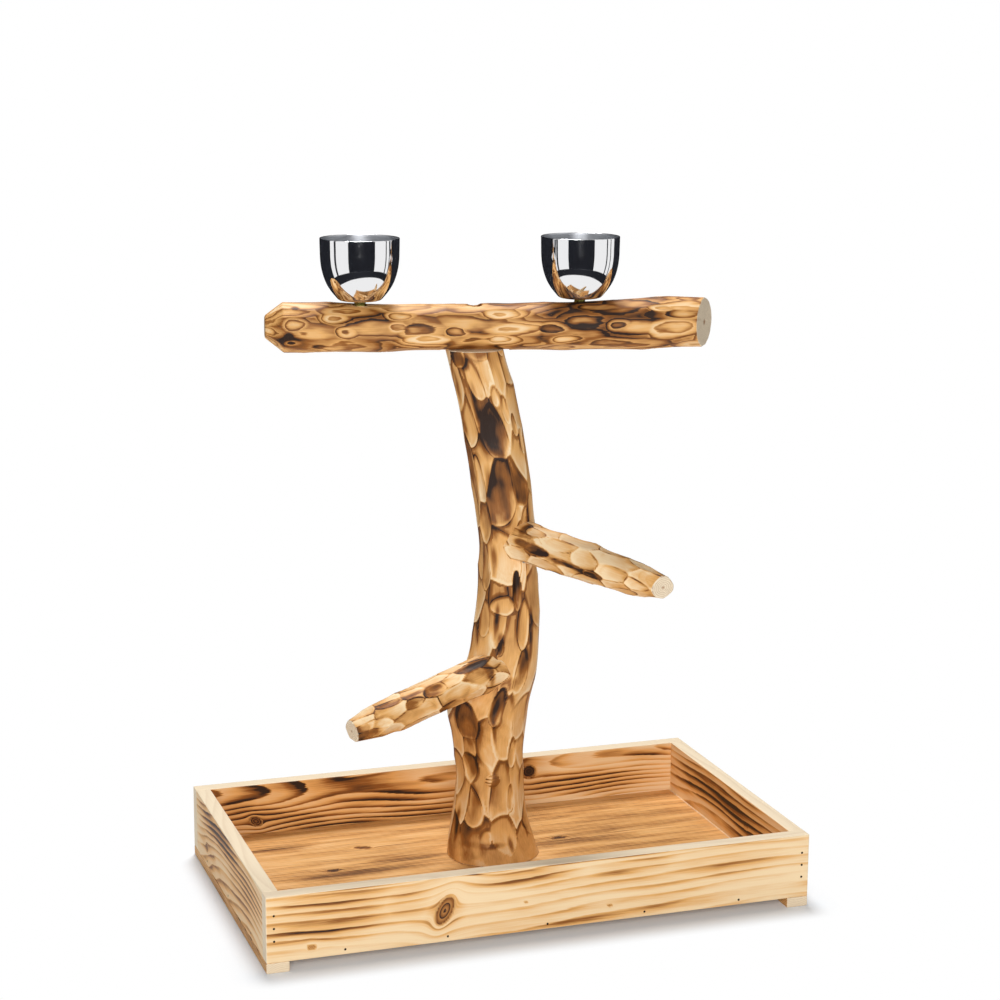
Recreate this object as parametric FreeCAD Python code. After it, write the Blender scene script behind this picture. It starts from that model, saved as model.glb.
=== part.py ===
import FreeCAD, Part
import math
import os

Vec = FreeCAD.Vector

# A table-top play stand for a pet bird: a nailed pine tray on two runners, a whittled log standing
# in it, a log perch screwed across the top, two branches and two steel cups.
# Millimetres. The origin is on the floor under the tray's centre, X along the tray, -Y its front.

# Tray
tray_length = 550.0
tray_width = 330.0
board_thickness = 15.0
board_height = 64.5
board_arris = 0.8
panel_thickness = 10.0
runner_width = 22.0
runner_height = 10.0

# Trunk: rows of (height above the tray's panel, sideways lean, radius)
trunk_foot_x = 5.0
trunk_foot_y = 25.0
trunk_lean_azimuth = -18.9
trunk_rows = (
    (0.0, 3.0, 46.5),
    (22.0, 0.0, 42.0),
    (60.0, -0.5, 36.5),
    (95.0, 0.5, 34.4),
    (132.0, -2.0, 38.5),
    (158.0, -2.5, 42.0),
    (200.0, 10.5, 37.5),
    (255.0, 16.0, 33.0),
    (305.0, 16.2, 29.5),
    (365.0, 12.6, 29.8),
    (415.0, 6.0, 30.2),
    (470.0, -4.5, 29.5),
    (524.0, -17.5, 28.8),
)

# Perch: rows of (distance along it from the trunk's screw, rise of the log's middle, radius)
perch_azimuth = -10.0
perch_axis_above_trunk = 22.0
perch_rows = (
    (-206.0, 2.0, 24.2),
    (-142.0, 0.0, 23.8),
    (-60.0, -0.8, 23.0),
    (0.0, -1.0, 23.0),
    (60.0, -0.8, 24.0),
    (126.0, -0.5, 24.8),
    (190.0, 0.4, 24.6),
    (270.0, 0.5, 24.4),
)
perch_tip_radius = 11.0
perch_tip_slope = 0.75
perch_sawn_end = 232.0
perch_saw_turn = 28.0
perch_flat_reach = 34.0

# Branches: rows of (distance from the seat along the branch, radius)
right_branch_rows = ((0.0, 20.5), (60.0, 19.8), (110.0, 18.2), (148.0, 15.0), (174.0, 11.5))
right_branch_seat_height = 333.0
right_branch_seat_distance = 24.5
right_branch_seat_azimuth = -63.9
right_branch_azimuth = -58.9
right_branch_slope = -6.3
right_branch_tip_turn = -20.0
left_branch_rows = ((0.0, 19.8), (60.0, 18.0), (110.0, 17.2), (150.0, 14.6), (168.0, 11.0))
left_branch_seat_height = 200.0
left_branch_seat_distance = 31.0
left_branch_seat_azimuth = -133.9
left_branch_azimuth = -160.9
left_branch_slope = -10.4
left_branch_tip_turn = 0.0
notch_margin = 1.5
seat_to_root = 45.0

# Logs are slightly out of round: the shares of two and three lobes, and their turn (radians) over
# a run along the log
log_lobe_two = 0.018
log_lobe_three = 0.014
log_twist = 1.1
log_twist_run = 100.0
log_outline_points = 12

# Cups
cup_places = {"left": -113.0, "right": 105.0}
cup_base_above_perch = 26.5
cup_height = 61.0
cup_rim_radius = 39.0
cup_base_radius = 20.0
cup_wall = 1.0
cup_cone_radius = 28.5
cup_cone_height = 10.0
cup_shoulder_radius = 35.6
cup_shoulder_height = 24.0
cup_waist_radius = 38.4
cup_waist_height = 40.0

# Cup hardware (M6, drawn at the thread's outer diameter)
cup_bolt_radius = 3.0
cup_bolt_length = 16.0
cup_bolt_head_radius = 6.0
cup_bolt_head_height = 2.8
cup_nut_across_flats = 10.0
cup_nut_height = 4.0
cup_washer_radius = 6.0
cup_washer_thickness = 1.0
cup_washer_bore_radius = 3.2
cup_insert_radius = 5.0
cup_insert_length = 12.0
spot_face_margin = 1.0
bolt_tip_room = 3.0

# Fasteners
brad_radius = 0.8
brad_head_radius = 1.1
brad_head_height = 1.0
brad_length = 35.0
brad_set = 0.2
corner_brad_count = 3
corner_brad_first = 21.0
corner_brad_pitch = 12.5
long_side_brad_count = 5
long_side_brad_margin = 75.0
short_side_brad_count = 3
short_side_brad_margin = 65.0
runner_screw_count = 4
runner_screw_margin = 25.0
runner_screw_radius = 1.75
runner_screw_head_radius = 3.5
runner_screw_head_height = 2.2
runner_screw_length = 25.0
runner_screw_set = 0.6
trunk_screw_count = 3
trunk_screw_circle = 24.0
trunk_screw_radius = 3.0
trunk_screw_length = 60.0
trunk_screw_across_flats = 10.0
trunk_screw_head_height = 4.0
trunk_washer_radius = 9.0
trunk_washer_thickness = 1.6
perch_screw_radius = 3.0
perch_screw_length = 80.0
perch_screw_across_flats = 10.0
perch_screw_head_height = 4.0
perch_screw_counterbore_radius = 8.0
perch_screw_counterbore_floor = 10.0
perch_washer_radius = 7.0
perch_washer_thickness = 1.2
dowel_radius = 5.0
dowel_length = 40.0
toe_screw_radius = 2.0
toe_screw_head_radius = 3.6
toe_screw_head_height = 2.4
toe_screw_length = 50.0
toe_screw_from_seat = 14.0
toe_screw_aside = 10.5
toe_screw_rise = 38.0

# Radial room in a fit: fixed hardware in wood or steel, and the two pins that turn
fixed_clearance = 0.04
turning_clearance = 0.05
dowel_clearance = 0.02
tool_reach = 400.0

# Levels and places that follow from the sizes above
board_bottom = runner_height
board_top = board_bottom + board_height
panel_top = board_bottom + panel_thickness
panel_length = tray_length - 2.0 * board_thickness
panel_width = tray_width - 2.0 * board_thickness
trunk_top = panel_top + trunk_rows[-1][0]
perch_axis = trunk_top + perch_axis_above_trunk
cup_base = perch_axis + cup_base_above_perch
nut_bottom = cup_base - cup_nut_height
spot_face = nut_bottom - cup_washer_thickness
bolt_tip = cup_base + cup_wall - cup_bolt_length


def heading(azimuth, slope=0.0):
    """Unit vector at an azimuth from +X, rising by a slope, both in degrees."""
    turn = math.radians(azimuth)
    rise = math.radians(slope)
    return Vec(math.cos(turn) * math.cos(rise), math.sin(turn) * math.cos(rise), math.sin(rise))


def place(shape, origin, direction):
    """Copy of a shape drawn along +Z at the origin, turned to a direction and moved to a place."""
    turn = FreeCAD.Rotation(Vec(0, 0, 1), direction)
    copy = shape.copy()
    copy.Placement = FreeCAD.Placement(origin, turn)
    return copy


def between(rows, at, column):
    """Value of a column of rows at a distance, on straight lines from row to row."""
    for low, high in zip(rows, rows[1:]):
        if at <= high[0]:
            share = (at - low[0]) / (high[0] - low[0])
            return low[column] + share * (high[column] - low[column])
    return rows[-1][column]


def evenly(count, half_span):
    """Places spread evenly over a span centred on zero."""
    step = 2.0 * half_span / (count - 1)
    return [-half_span + step * index for index in range(count)]


def log_outline(centre, side, up, radius, along):
    """Closed smooth outline of a log, a circle with two and three low lobes that turn along it."""
    points = []
    phase = log_twist * along / log_twist_run
    for index in range(log_outline_points):
        angle = 2.0 * math.pi * index / log_outline_points
        swell = 1.0 + log_lobe_two * math.cos(2.0 * angle + phase)
        swell += log_lobe_three * math.cos(3.0 * angle - 2.0 * phase)
        points.append(centre + (side * math.cos(angle) + up * math.sin(angle)) * radius * swell)
    curve = Part.BSplineCurve()
    curve.interpolate(Points=points, PeriodicFlag=True)
    return Part.Wire([curve.toShape()])


def trunk_centre(height):
    """Middle of the trunk at a height above the tray's panel."""
    lean = heading(trunk_lean_azimuth) * between(trunk_rows, height, 1)
    return Vec(trunk_foot_x, trunk_foot_y, panel_top + height) + lean


def perch_point(along, height=0.0):
    """Point at a distance along the perch and a height above its axis."""
    foot = trunk_centre(trunk_rows[-1][0])
    return Vec(foot.x, foot.y, perch_axis + height) + heading(perch_azimuth) * along


def hex_prism(across_flats, height):
    """Hexagonal prism standing on its base at the origin."""
    corner = across_flats / math.sqrt(3.0)
    corners = [heading(60.0 * index) * corner for index in range(7)]
    return Part.Face(Part.makePolygon(corners)).extrude(Vec(0, 0, height))


def pin(head_radius, head_height, shank_radius, length):
    """Headed pin: the head's face at the origin, the shank along +Z."""
    head = Part.makeCylinder(head_radius, head_height)
    shank = Part.makeCylinder(shank_radius, length)
    return head.fuse(shank).removeSplitter()


def countersunk(head_radius, head_height, shank_radius, length):
    """Countersunk screw: the flat of its head at the origin, the shank along +Z."""
    head = Part.makeCone(head_radius, shank_radius, head_height)
    shank = Part.makeCylinder(shank_radius, length)
    return head.fuse(shank).removeSplitter()


def ring(outer_radius, inner_radius, thickness):
    """Flat washer on its lower face at the origin."""
    return Part.makeCylinder(outer_radius, thickness).cut(Part.makeCylinder(inner_radius, thickness))


def drilled(shape, tools):
    """Shape with every tool that meets it cut away."""
    meeting = [tool for tool in tools if tool.BoundBox.intersect(shape.BoundBox)]
    return shape.cut(meeting) if meeting else shape


def board(length, width, height, low_corner):
    """Sawn board with its edges eased."""
    box = Part.makeBox(length, width, height, low_corner)
    return box.makeChamfer(board_arris, box.Edges)


# Fasteners of the tray, each with the tool that makes its hole

def corner_brad_places():
    """Head and direction of the brads through the long boards into the end boards."""
    places = []
    for x in (-1.0, 1.0):
        for y in (-1.0, 1.0):
            for index in range(corner_brad_count):
                head = Vec(x * (tray_length - board_thickness) / 2.0, y * (tray_width / 2.0 - brad_set),
                           board_bottom + corner_brad_first + corner_brad_pitch * index)
                places.append((head, Vec(0, -y, 0)))
    return places


def panel_brad_places():
    """Head and direction of the brads through the boards into the panel's edges."""
    places = []
    middle = board_bottom + panel_thickness / 2.0
    for side in (-1.0, 1.0):
        for x in evenly(long_side_brad_count, tray_length / 2.0 - long_side_brad_margin):
            places.append((Vec(x, side * (tray_width / 2.0 - brad_set), middle), Vec(0, -side, 0)))
        for y in evenly(short_side_brad_count, tray_width / 2.0 - short_side_brad_margin):
            places.append((Vec(side * (tray_length / 2.0 - brad_set), y, middle), Vec(-side, 0, 0)))
    return places


def runner_screw_places():
    """Heads of the screws up through the runners into the end boards."""
    places = []
    for side in (-1.0, 1.0):
        for y in evenly(runner_screw_count, tray_width / 2.0 - runner_screw_margin):
            places.append((Vec(side * (tray_length - board_thickness) / 2.0, y, runner_screw_set),
                           Vec(0, 0, 1)))
    return places


def trunk_screw_places():
    """Places on the panel's underside, round the trunk's foot."""
    foot = trunk_centre(0.0)
    places = []
    for index in range(trunk_screw_count):
        spoke = heading(90.0 + 360.0 * index / trunk_screw_count) * trunk_screw_circle
        places.append(Vec(foot.x, foot.y, board_bottom) + spoke)
    return places


def brads(places):
    nail = pin(brad_head_radius, brad_head_height, brad_radius, brad_length)
    return [place(nail, head, direction) for head, direction in places]


def brad_holes(places):
    """Holes a little wider than the brads, open to the board's face above the set heads."""
    hole = pin(brad_head_radius + fixed_clearance, brad_set + brad_head_height,
               brad_radius + fixed_clearance, brad_set + brad_length)
    return [place(hole, head - direction * brad_set, direction) for head, direction in places]


def runner_screws():
    screw = countersunk(runner_screw_head_radius, runner_screw_head_height, runner_screw_radius,
                        runner_screw_length)
    return [place(screw, head, direction) for head, direction in runner_screw_places()]


def runner_screw_holes():
    """Countersunk holes, straight below the heads so that they open downwards."""
    hole = countersunk(runner_screw_head_radius + fixed_clearance, runner_screw_head_height,
                       runner_screw_radius + fixed_clearance, runner_screw_length)
    mouth = Part.makeCylinder(runner_screw_head_radius + fixed_clearance, runner_screw_set)
    hole = hole.fuse(mouth.translated(Vec(0, 0, -runner_screw_set)))
    return [place(hole, head, direction) for head, direction in runner_screw_places()]


def trunk_screws():
    screws = []
    for point in trunk_screw_places():
        head = hex_prism(trunk_screw_across_flats, trunk_screw_head_height)
        shank = Part.makeCylinder(trunk_screw_radius, trunk_screw_head_height + trunk_screw_length)
        drop = trunk_washer_thickness + trunk_screw_head_height
        screws.append(place(head.fuse(shank), point - Vec(0, 0, drop), Vec(0, 0, 1)))
    return screws


def trunk_washers():
    washer = ring(trunk_washer_radius, trunk_screw_radius + fixed_clearance, trunk_washer_thickness)
    drop = Vec(0, 0, trunk_washer_thickness)
    return [place(washer, point - drop, Vec(0, 0, 1)) for point in trunk_screw_places()]


def trunk_screw_holes():
    hole = Part.makeCylinder(trunk_screw_radius + fixed_clearance, trunk_screw_length)
    return [place(hole, point, Vec(0, 0, 1)) for point in trunk_screw_places()]


# Tray

def long_board(side):
    """Front (-1) or back (+1) board, over the ends of the end boards."""
    low_y = side * (tray_width - board_thickness) / 2.0 - board_thickness / 2.0
    wood = board(tray_length, board_thickness, board_height,
                 Vec(-tray_length / 2.0, low_y, board_bottom))
    return drilled(wood, brad_holes(corner_brad_places() + panel_brad_places()))


def end_board(side):
    """Left (-1) or right (+1) board, between the long boards."""
    low_x = side * (tray_length - board_thickness) / 2.0 - board_thickness / 2.0
    wood = board(board_thickness, panel_width, board_height, Vec(low_x, -panel_width / 2.0, board_bottom))
    holes = brad_holes(corner_brad_places() + panel_brad_places())
    return drilled(wood, holes + runner_screw_holes())


def floor_panel():
    wood = Part.makeBox(panel_length, panel_width, panel_thickness,
                        Vec(-panel_length / 2.0, -panel_width / 2.0, board_bottom))
    return drilled(wood, brad_holes(panel_brad_places()) + trunk_screw_holes())


def runner(side):
    """Batten under one end of the tray, its outer face flush with the end board's."""
    low_x = side * (tray_length - runner_width) / 2.0 - runner_width / 2.0
    wood = board(runner_width, tray_width, runner_height, Vec(low_x, -tray_width / 2.0, 0.0))
    return drilled(wood, runner_screw_holes())


# Branches

class Branch:
    """A whittled branch on a flat seat cut in the trunk."""

    def __init__(self, rows, seat_height, seat_distance, seat_azimuth, azimuth, slope, tip_turn):
        self.rows = rows
        self.seat_normal = heading(seat_azimuth)
        self.axis = heading(azimuth, slope)
        self.side = heading(azimuth + 90.0)
        self.up = self.axis.cross(self.side)
        self.seat = trunk_centre(seat_height) + self.seat_normal * seat_distance
        self.tip_normal = heading(azimuth + tip_turn, slope)

    def beyond_seat(self):
        """Everything on the branch's side of the seat."""
        block = Part.makeBox(tool_reach, tool_reach, tool_reach, Vec(-tool_reach / 2.0, -tool_reach / 2.0, 0.0))
        return place(block, self.seat, self.seat_normal)

    def beyond_tip(self):
        block = Part.makeBox(tool_reach, tool_reach, tool_reach, Vec(-tool_reach / 2.0, -tool_reach / 2.0, 0.0))
        return place(block, self.seat + self.axis * self.rows[-1][0], self.tip_normal)

    def log(self):
        """Tapered log from behind the seat to past the tip, trimmed by both."""
        root = (-seat_to_root, self.rows[0][1])
        past_tip = (self.rows[-1][0] + self.rows[-1][1], self.rows[-1][1])
        wires = []
        for along, radius in (root,) + self.rows + (past_tip,):
            wires.append(log_outline(self.seat + self.axis * along, self.side, self.up, radius, along))
        return Part.makeLoft(wires, True).common(self.beyond_seat()).cut(self.beyond_tip())

    def notch(self):
        """Round-sided pocket in the trunk for the branch's root."""
        radius = self.rows[0][1] + notch_margin
        bore = Part.makeCylinder(radius * (1.0 + log_lobe_two + log_lobe_three), 3.0 * seat_to_root)
        return place(bore, self.seat - self.axis * seat_to_root, self.axis).common(self.beyond_seat())

    def dowel(self, room=0.0):
        """Dowel half in the trunk and half in the branch, or its hole with some room round it."""
        cylinder = Part.makeCylinder(dowel_radius + room, dowel_length + 2.0 * room)
        back = self.seat_normal * (dowel_length / 2.0 + room)
        return place(cylinder, self.seat - back, self.seat_normal)

    def toe_screw_line(self):
        """Head's place under the branch's root, beside the dowel, and the line up into the trunk."""
        radius = between(self.rows, toe_screw_from_seat, 1)
        drop = math.sqrt(radius ** 2 - toe_screw_aside ** 2) - toe_screw_head_height
        head = self.seat + self.axis * toe_screw_from_seat - self.side * toe_screw_aside - self.up * drop
        rise = math.radians(toe_screw_rise)
        line = self.up * math.sin(rise) - self.seat_normal * math.cos(rise)
        return head, line

    def toe_screw(self):
        head, line = self.toe_screw_line()
        return place(countersunk(toe_screw_head_radius, toe_screw_head_height, toe_screw_radius,
                                 toe_screw_length), head, line)

    def toe_screw_hole(self):
        """Hole for the screw, with a straight pocket for its head."""
        head, line = self.toe_screw_line()
        hole = countersunk(toe_screw_head_radius + fixed_clearance, toe_screw_head_height,
                           toe_screw_radius + fixed_clearance, toe_screw_length)
        pocket = Part.makeCylinder(toe_screw_head_radius + fixed_clearance, seat_to_root)
        return place(hole.fuse(pocket.translated(Vec(0, 0, -seat_to_root))), head, line)

    def wood(self):
        return self.log().cut([self.dowel(dowel_clearance), self.toe_screw_hole()])


branches = {
    "left": Branch(left_branch_rows, left_branch_seat_height, left_branch_seat_distance,
                   left_branch_seat_azimuth, left_branch_azimuth, left_branch_slope,
                   left_branch_tip_turn),
    "right": Branch(right_branch_rows, right_branch_seat_height, right_branch_seat_distance,
                    right_branch_seat_azimuth, right_branch_azimuth, right_branch_slope,
                    right_branch_tip_turn),
}


# Perch fastening

def perch_screw_head_seat():
    """Height of the washer's underside in the perch's counterbore."""
    return perch_axis + perch_screw_counterbore_floor


def perch_screw():
    """Hexagon-headed wood screw that the perch turns on, fixed in the trunk."""
    head = hex_prism(perch_screw_across_flats, perch_screw_head_height)
    shank = Part.makeCylinder(perch_screw_radius, perch_screw_length, Vec(0, 0, -perch_screw_length))
    foot = perch_point(0.0)
    foot.z = perch_screw_head_seat() + perch_washer_thickness
    return head.fuse(shank).translated(foot)


def perch_screw_hole(room, floor):
    """Bore round the perch screw, from a floor up to the washer."""
    foot = perch_point(0.0)
    foot.z = floor
    return Part.makeCylinder(perch_screw_radius + room, perch_screw_head_seat() - floor, foot)


def perch_washer():
    washer = ring(perch_washer_radius, perch_screw_radius + fixed_clearance, perch_washer_thickness)
    foot = perch_point(0.0)
    foot.z = perch_screw_head_seat()
    return washer.translated(foot)


# Trunk

def trunk():
    """Whittled log with a sawn foot and top, a seat for each branch and its screw holes."""
    side = heading(trunk_lean_azimuth)
    wires = []
    for height, _, radius in trunk_rows:
        wires.append(log_outline(trunk_centre(height), side, Vec(0, 0, 1).cross(side), radius, height))
    log = Part.makeLoft(wires, True)
    tip = perch_screw_head_seat() + perch_washer_thickness - perch_screw_length
    tools = [perch_screw_hole(fixed_clearance, tip)] + trunk_screw_holes()
    for branch in branches.values():
        tools += [branch.notch(), branch.dowel(dowel_clearance), branch.toe_screw_hole()]
    return log.cut(tools)


# Perch

def perch_log():
    """Log trimmed by a whittled cone at its left and a slanting saw cut at its right."""
    along = heading(perch_azimuth)
    side = Vec(0, 0, 1).cross(along)
    wires = []
    for distance, rise, radius in perch_rows:
        wires.append(log_outline(perch_point(distance, rise), side, Vec(0, 0, 1), radius, distance))
    log = Part.makeLoft(wires, True)
    length = perch_rows[-1][0] - perch_rows[0][0]
    cone = Part.makeCone(perch_tip_radius, perch_tip_radius + perch_tip_slope * length, length)
    log = log.common(place(cone, perch_point(perch_rows[0][0], perch_rows[0][1]), along))
    block = Part.makeBox(tool_reach, tool_reach, tool_reach, Vec(-tool_reach / 2.0, -tool_reach / 2.0, 0.0))
    return log.cut(place(block, perch_point(perch_sawn_end), heading(perch_azimuth - perch_saw_turn)))


def perch_flat():
    """Flat under the perch where it lies on the trunk."""
    flat = Part.makeBox(2.0 * perch_flat_reach, tool_reach, perch_axis_above_trunk,
                        Vec(-perch_flat_reach, -tool_reach / 2.0, 0.0))
    foot = perch_point(0.0)
    foot.z = trunk_top - perch_axis_above_trunk
    flat.Placement = FreeCAD.Placement(foot, FreeCAD.Rotation(Vec(0, 0, 1), perch_azimuth))
    return flat


def counterbore():
    foot = perch_point(0.0)
    foot.z = perch_screw_head_seat()
    return Part.makeCylinder(perch_screw_counterbore_radius, tool_reach, foot)


def cup_foot(side, level):
    """Point on a cup's axis at a level."""
    foot = perch_point(cup_places[side])
    foot.z = level
    return foot


def cup_seat_tools(side):
    """Spot face, insert bore and room for the bolt's tip under one cup."""
    face = Part.makeCylinder(cup_washer_radius + spot_face_margin, tool_reach, cup_foot(side, spot_face))
    insert = Part.makeCylinder(cup_insert_radius + fixed_clearance, cup_insert_length,
                               cup_foot(side, spot_face - cup_insert_length))
    floor = min(bolt_tip, spot_face - cup_insert_length) - bolt_tip_room
    room = Part.makeCylinder(cup_washer_bore_radius, spot_face - floor, cup_foot(side, floor))
    return [face, insert, room]


def perch():
    tools = [perch_flat(), counterbore(), perch_screw_hole(turning_clearance, trunk_top - perch_axis_above_trunk)]
    for side in cup_places:
        tools += cup_seat_tools(side)
    return perch_log().cut(tools)


# Cups

def cup_profile(inset):
    """Half outline of the cup's outside, moved in by a wall, closed on its axis and rim."""
    base = Vec(cup_base_radius - inset * 0.5, 0, inset)
    cone = Vec(cup_cone_radius - inset * 0.7, 0, cup_cone_height + inset * 0.7)
    shoulder = Vec(cup_shoulder_radius - inset, 0, cup_shoulder_height + inset * 0.4)
    waist = Vec(cup_waist_radius - inset, 0, cup_waist_height)
    rim = Vec(cup_rim_radius - inset, 0, cup_height)
    top = Vec(0, 0, cup_height)
    foot = Vec(0, 0, inset)
    edges = [
        Part.makeLine(foot, base),
        Part.makeLine(base, cone),
        Part.Arc(cone, shoulder, waist).toShape(),
        Part.makeLine(waist, rim),
        Part.makeLine(rim, top),
        Part.makeLine(top, foot),
    ]
    return Part.Face(Part.Wire(edges)).revolve(Vec(0, 0, 0), Vec(0, 0, 1), 360)


def cup(side):
    """Spun steel cup with a bolt hole in its flat base."""
    shell = cup_profile(0.0).cut(cup_profile(cup_wall))
    hole = Part.makeCylinder(cup_bolt_radius + fixed_clearance, cup_wall)
    return shell.cut(hole).translated(cup_foot(side, cup_base))


def cup_bolt(side):
    """Low-headed bolt down through the cup's base."""
    bolt = pin(cup_bolt_head_radius, cup_bolt_head_height, cup_bolt_radius,
               cup_bolt_head_height + cup_bolt_length)
    return place(bolt, cup_foot(side, cup_base + cup_wall + cup_bolt_head_height), Vec(0, 0, -1))


def cup_nut(side):
    nut = hex_prism(cup_nut_across_flats, cup_nut_height)
    bore = Part.makeCylinder(cup_bolt_radius + fixed_clearance, cup_nut_height)
    return nut.cut(bore).translated(cup_foot(side, nut_bottom))


def cup_washer(side):
    washer = ring(cup_washer_radius, cup_washer_bore_radius, cup_washer_thickness)
    return washer.translated(cup_foot(side, spot_face))


def cup_insert(side):
    """Threaded bush in the perch."""
    bush = ring(cup_insert_radius, cup_bolt_radius + turning_clearance, cup_insert_length)
    return bush.translated(cup_foot(side, spot_face - cup_insert_length))


def parts():
    """Every sub-part under its name, a list where like fasteners share one."""
    made = {
        "front_board": long_board(-1.0),
        "back_board": long_board(1.0),
        "left_board": end_board(-1.0),
        "right_board": end_board(1.0),
        "floor_panel": floor_panel(),
        "left_runner": runner(-1.0),
        "right_runner": runner(1.0),
        "corner_nails": brads(corner_brad_places()),
        "floor_nails": brads(panel_brad_places()),
        "runner_screws": runner_screws(),
        "trunk": trunk(),
        "trunk_screws": trunk_screws(),
        "trunk_washers": trunk_washers(),
        "perch": perch(),
        "perch_screw": perch_screw(),
        "perch_washer": perch_washer(),
    }
    for side, branch in branches.items():
        made[side + "_branch"] = branch.wood()
        made[side + "_branch_dowel"] = branch.dowel()
        made[side + "_branch_screw"] = branch.toe_screw()
        made[side + "_cup"] = cup(side)
        made[side + "_cup_bolt"] = cup_bolt(side)
        made[side + "_cup_nut"] = cup_nut(side)
        made[side + "_cup_washer"] = cup_washer(side)
        made[side + "_cup_insert"] = cup_insert(side)
    return made


def write(name, shape):
    """Write one sub-part, a group of solids where it is a list."""
    solid = Part.makeCompound(shape) if isinstance(shape, list) else shape
    solid.exportStep("parts/" + name + ".step")


os.makedirs("parts", exist_ok=True)
for name, shape in parts().items():
    write(name, shape)
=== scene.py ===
"""Table-top play stand: torched pine tray, whittled trunk, turning perch, two branches, two steel cups.

Metres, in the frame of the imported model: X along the tray, -Y its front, Z up.
"""
import math

import bpy
import numpy as np
from mathutils import Matrix, Vector


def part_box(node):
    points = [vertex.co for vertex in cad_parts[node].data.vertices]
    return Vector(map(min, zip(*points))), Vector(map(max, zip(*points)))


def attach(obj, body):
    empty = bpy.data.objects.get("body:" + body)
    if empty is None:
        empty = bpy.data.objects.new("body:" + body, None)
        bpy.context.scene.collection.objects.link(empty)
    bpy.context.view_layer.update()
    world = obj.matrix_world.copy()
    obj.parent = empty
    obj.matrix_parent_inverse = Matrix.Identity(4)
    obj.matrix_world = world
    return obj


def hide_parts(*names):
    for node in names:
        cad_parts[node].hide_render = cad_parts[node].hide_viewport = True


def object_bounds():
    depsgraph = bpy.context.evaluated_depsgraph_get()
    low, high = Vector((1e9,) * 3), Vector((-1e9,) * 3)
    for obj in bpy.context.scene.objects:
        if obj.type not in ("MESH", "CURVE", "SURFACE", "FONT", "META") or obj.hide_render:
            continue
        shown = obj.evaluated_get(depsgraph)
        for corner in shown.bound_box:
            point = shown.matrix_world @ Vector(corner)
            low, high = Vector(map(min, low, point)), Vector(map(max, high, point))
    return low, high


bl_info = {
    "name": "Whittled play stand",
    "version": (1, 0, 0),
    "blender": (4, 5, 0),
    "location": "View3D > Sidebar > Play stand",
    "description": "Builds a whittled and torched play stand round its packed model",
    "category": "Object",
}

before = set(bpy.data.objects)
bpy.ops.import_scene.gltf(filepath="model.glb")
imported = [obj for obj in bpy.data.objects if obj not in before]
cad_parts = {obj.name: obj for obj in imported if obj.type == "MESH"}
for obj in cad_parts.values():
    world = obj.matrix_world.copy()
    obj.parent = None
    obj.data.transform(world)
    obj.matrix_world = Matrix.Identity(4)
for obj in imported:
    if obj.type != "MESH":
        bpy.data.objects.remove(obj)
CAD_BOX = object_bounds()
MM = 0.001

# Camera of the product picture: focal length and sensor (mm), place and reach (m), turns in degrees
CAMERA_LENS = 83.3
CAMERA_SENSOR = 36.0
CAMERA_REACH = 60.0
CAMERA_PLACE = (-0.7209, -2.1209, 0.8647)
CAMERA_HEADING = 18.908
CAMERA_PITCH = -11.81
CAMERA_ROLL = 0.368

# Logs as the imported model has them. Rows: distance along, lean to the side, rise, radius (mm).
# Two and three low lobes, shares of the radius, turn by the twist (radians) over LOG_TWIST_RUN mm
LOG_LOBE_TWO = 0.018
LOG_LOBE_THREE = 0.014
LOG_TWIST = 1.1
LOG_TWIST_RUN = 100.0
TRUNK_FOOT = (5.0, 25.0, 20.0)
TRUNK_LEAN_AZIMUTH = -18.9
TRUNK_ROWS = (
    (0, 3, 0, 46.5), (22, 0, 0, 42), (60, -0.5, 0, 36.5), (95, 0.5, 0, 34.4), (132, -2, 0, 38.5),
    (158, -2.5, 0, 42), (200, 10.5, 0, 37.5), (255, 16, 0, 33), (305, 16.2, 0, 29.5), (365, 12.6, 0, 29.8),
    (415, 6, 0, 30.2), (470, -4.5, 0, 29.5), (524, -17.5, 0, 28.8),
)
PERCH_AZIMUTH = -10.0
PERCH_AXIS_HEIGHT = 566.0
PERCH_ROWS = (
    (-206, 0, 2, 24.2), (-142, 0, 0, 23.8), (-60, 0, -0.8, 23), (0, 0, -1, 23), (60, 0, -0.8, 24),
    (126, 0, -0.5, 24.8), (190, 0, 0.4, 24.6), (270, 0, 0.5, 24.4),
)
PERCH_TIP_RADIUS = 11.0
PERCH_TIP_SLOPE = 0.75
PERCH_SAWN_END = 232.0
PERCH_SAW_TURN = 28.0
PERCH_FLAT_REACH = 34.0
PERCH_FLAT_HEIGHT = 544.05
# Places of the cups along the perch, and the round pockets for screws and nuts (mm, degrees)
CUP_PLACES = {"left": -113.0, "right": 105.0}
SPOT_FACE_RADIUS = 7.0
SPOT_FACE_HEIGHT = 587.4
COUNTERBORE_RADIUS = 8.0
COUNTERBORE_HEIGHT = 575.9
TOE_SCREW_FROM_SEAT = 14.0
TOE_SCREW_ASIDE = 10.5
TOE_SCREW_RISE = 38.0
TOE_SCREW_HEAD_HEIGHT = 2.4
TOE_SCREW_POCKET_RADIUS = 4.0
TOE_SCREW_POCKET_PLAY = 0.1
BRANCHES = {
    "right": {
        "rows": ((0, 0, 0, 20.5), (60, 0, 0, 19.8), (110, 0, 0, 18.2), (148, 0, 0, 15),
                 (174, 0, 0, 11.5)),
        "seat_height": 333, "seat_distance": 24.5, "seat_azimuth": -63.9,
        "azimuth": -58.9, "slope": -6.3, "tip_turn": -20,
    },
    "left": {
        "rows": ((0, 0, 0, 19.8), (60, 0, 0, 18), (110, 0, 0, 17.2), (150, 0, 0, 14.6),
                 (168, 0, 0, 11)),
        "seat_height": 200, "seat_distance": 31, "seat_azimuth": -133.9,
        "azimuth": -160.9, "slope": -10.4, "tip_turn": 0,
    },
}
# Depth of a branch's root inside the trunk (mm)
ROOT_DEPTH = 12.0

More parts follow.
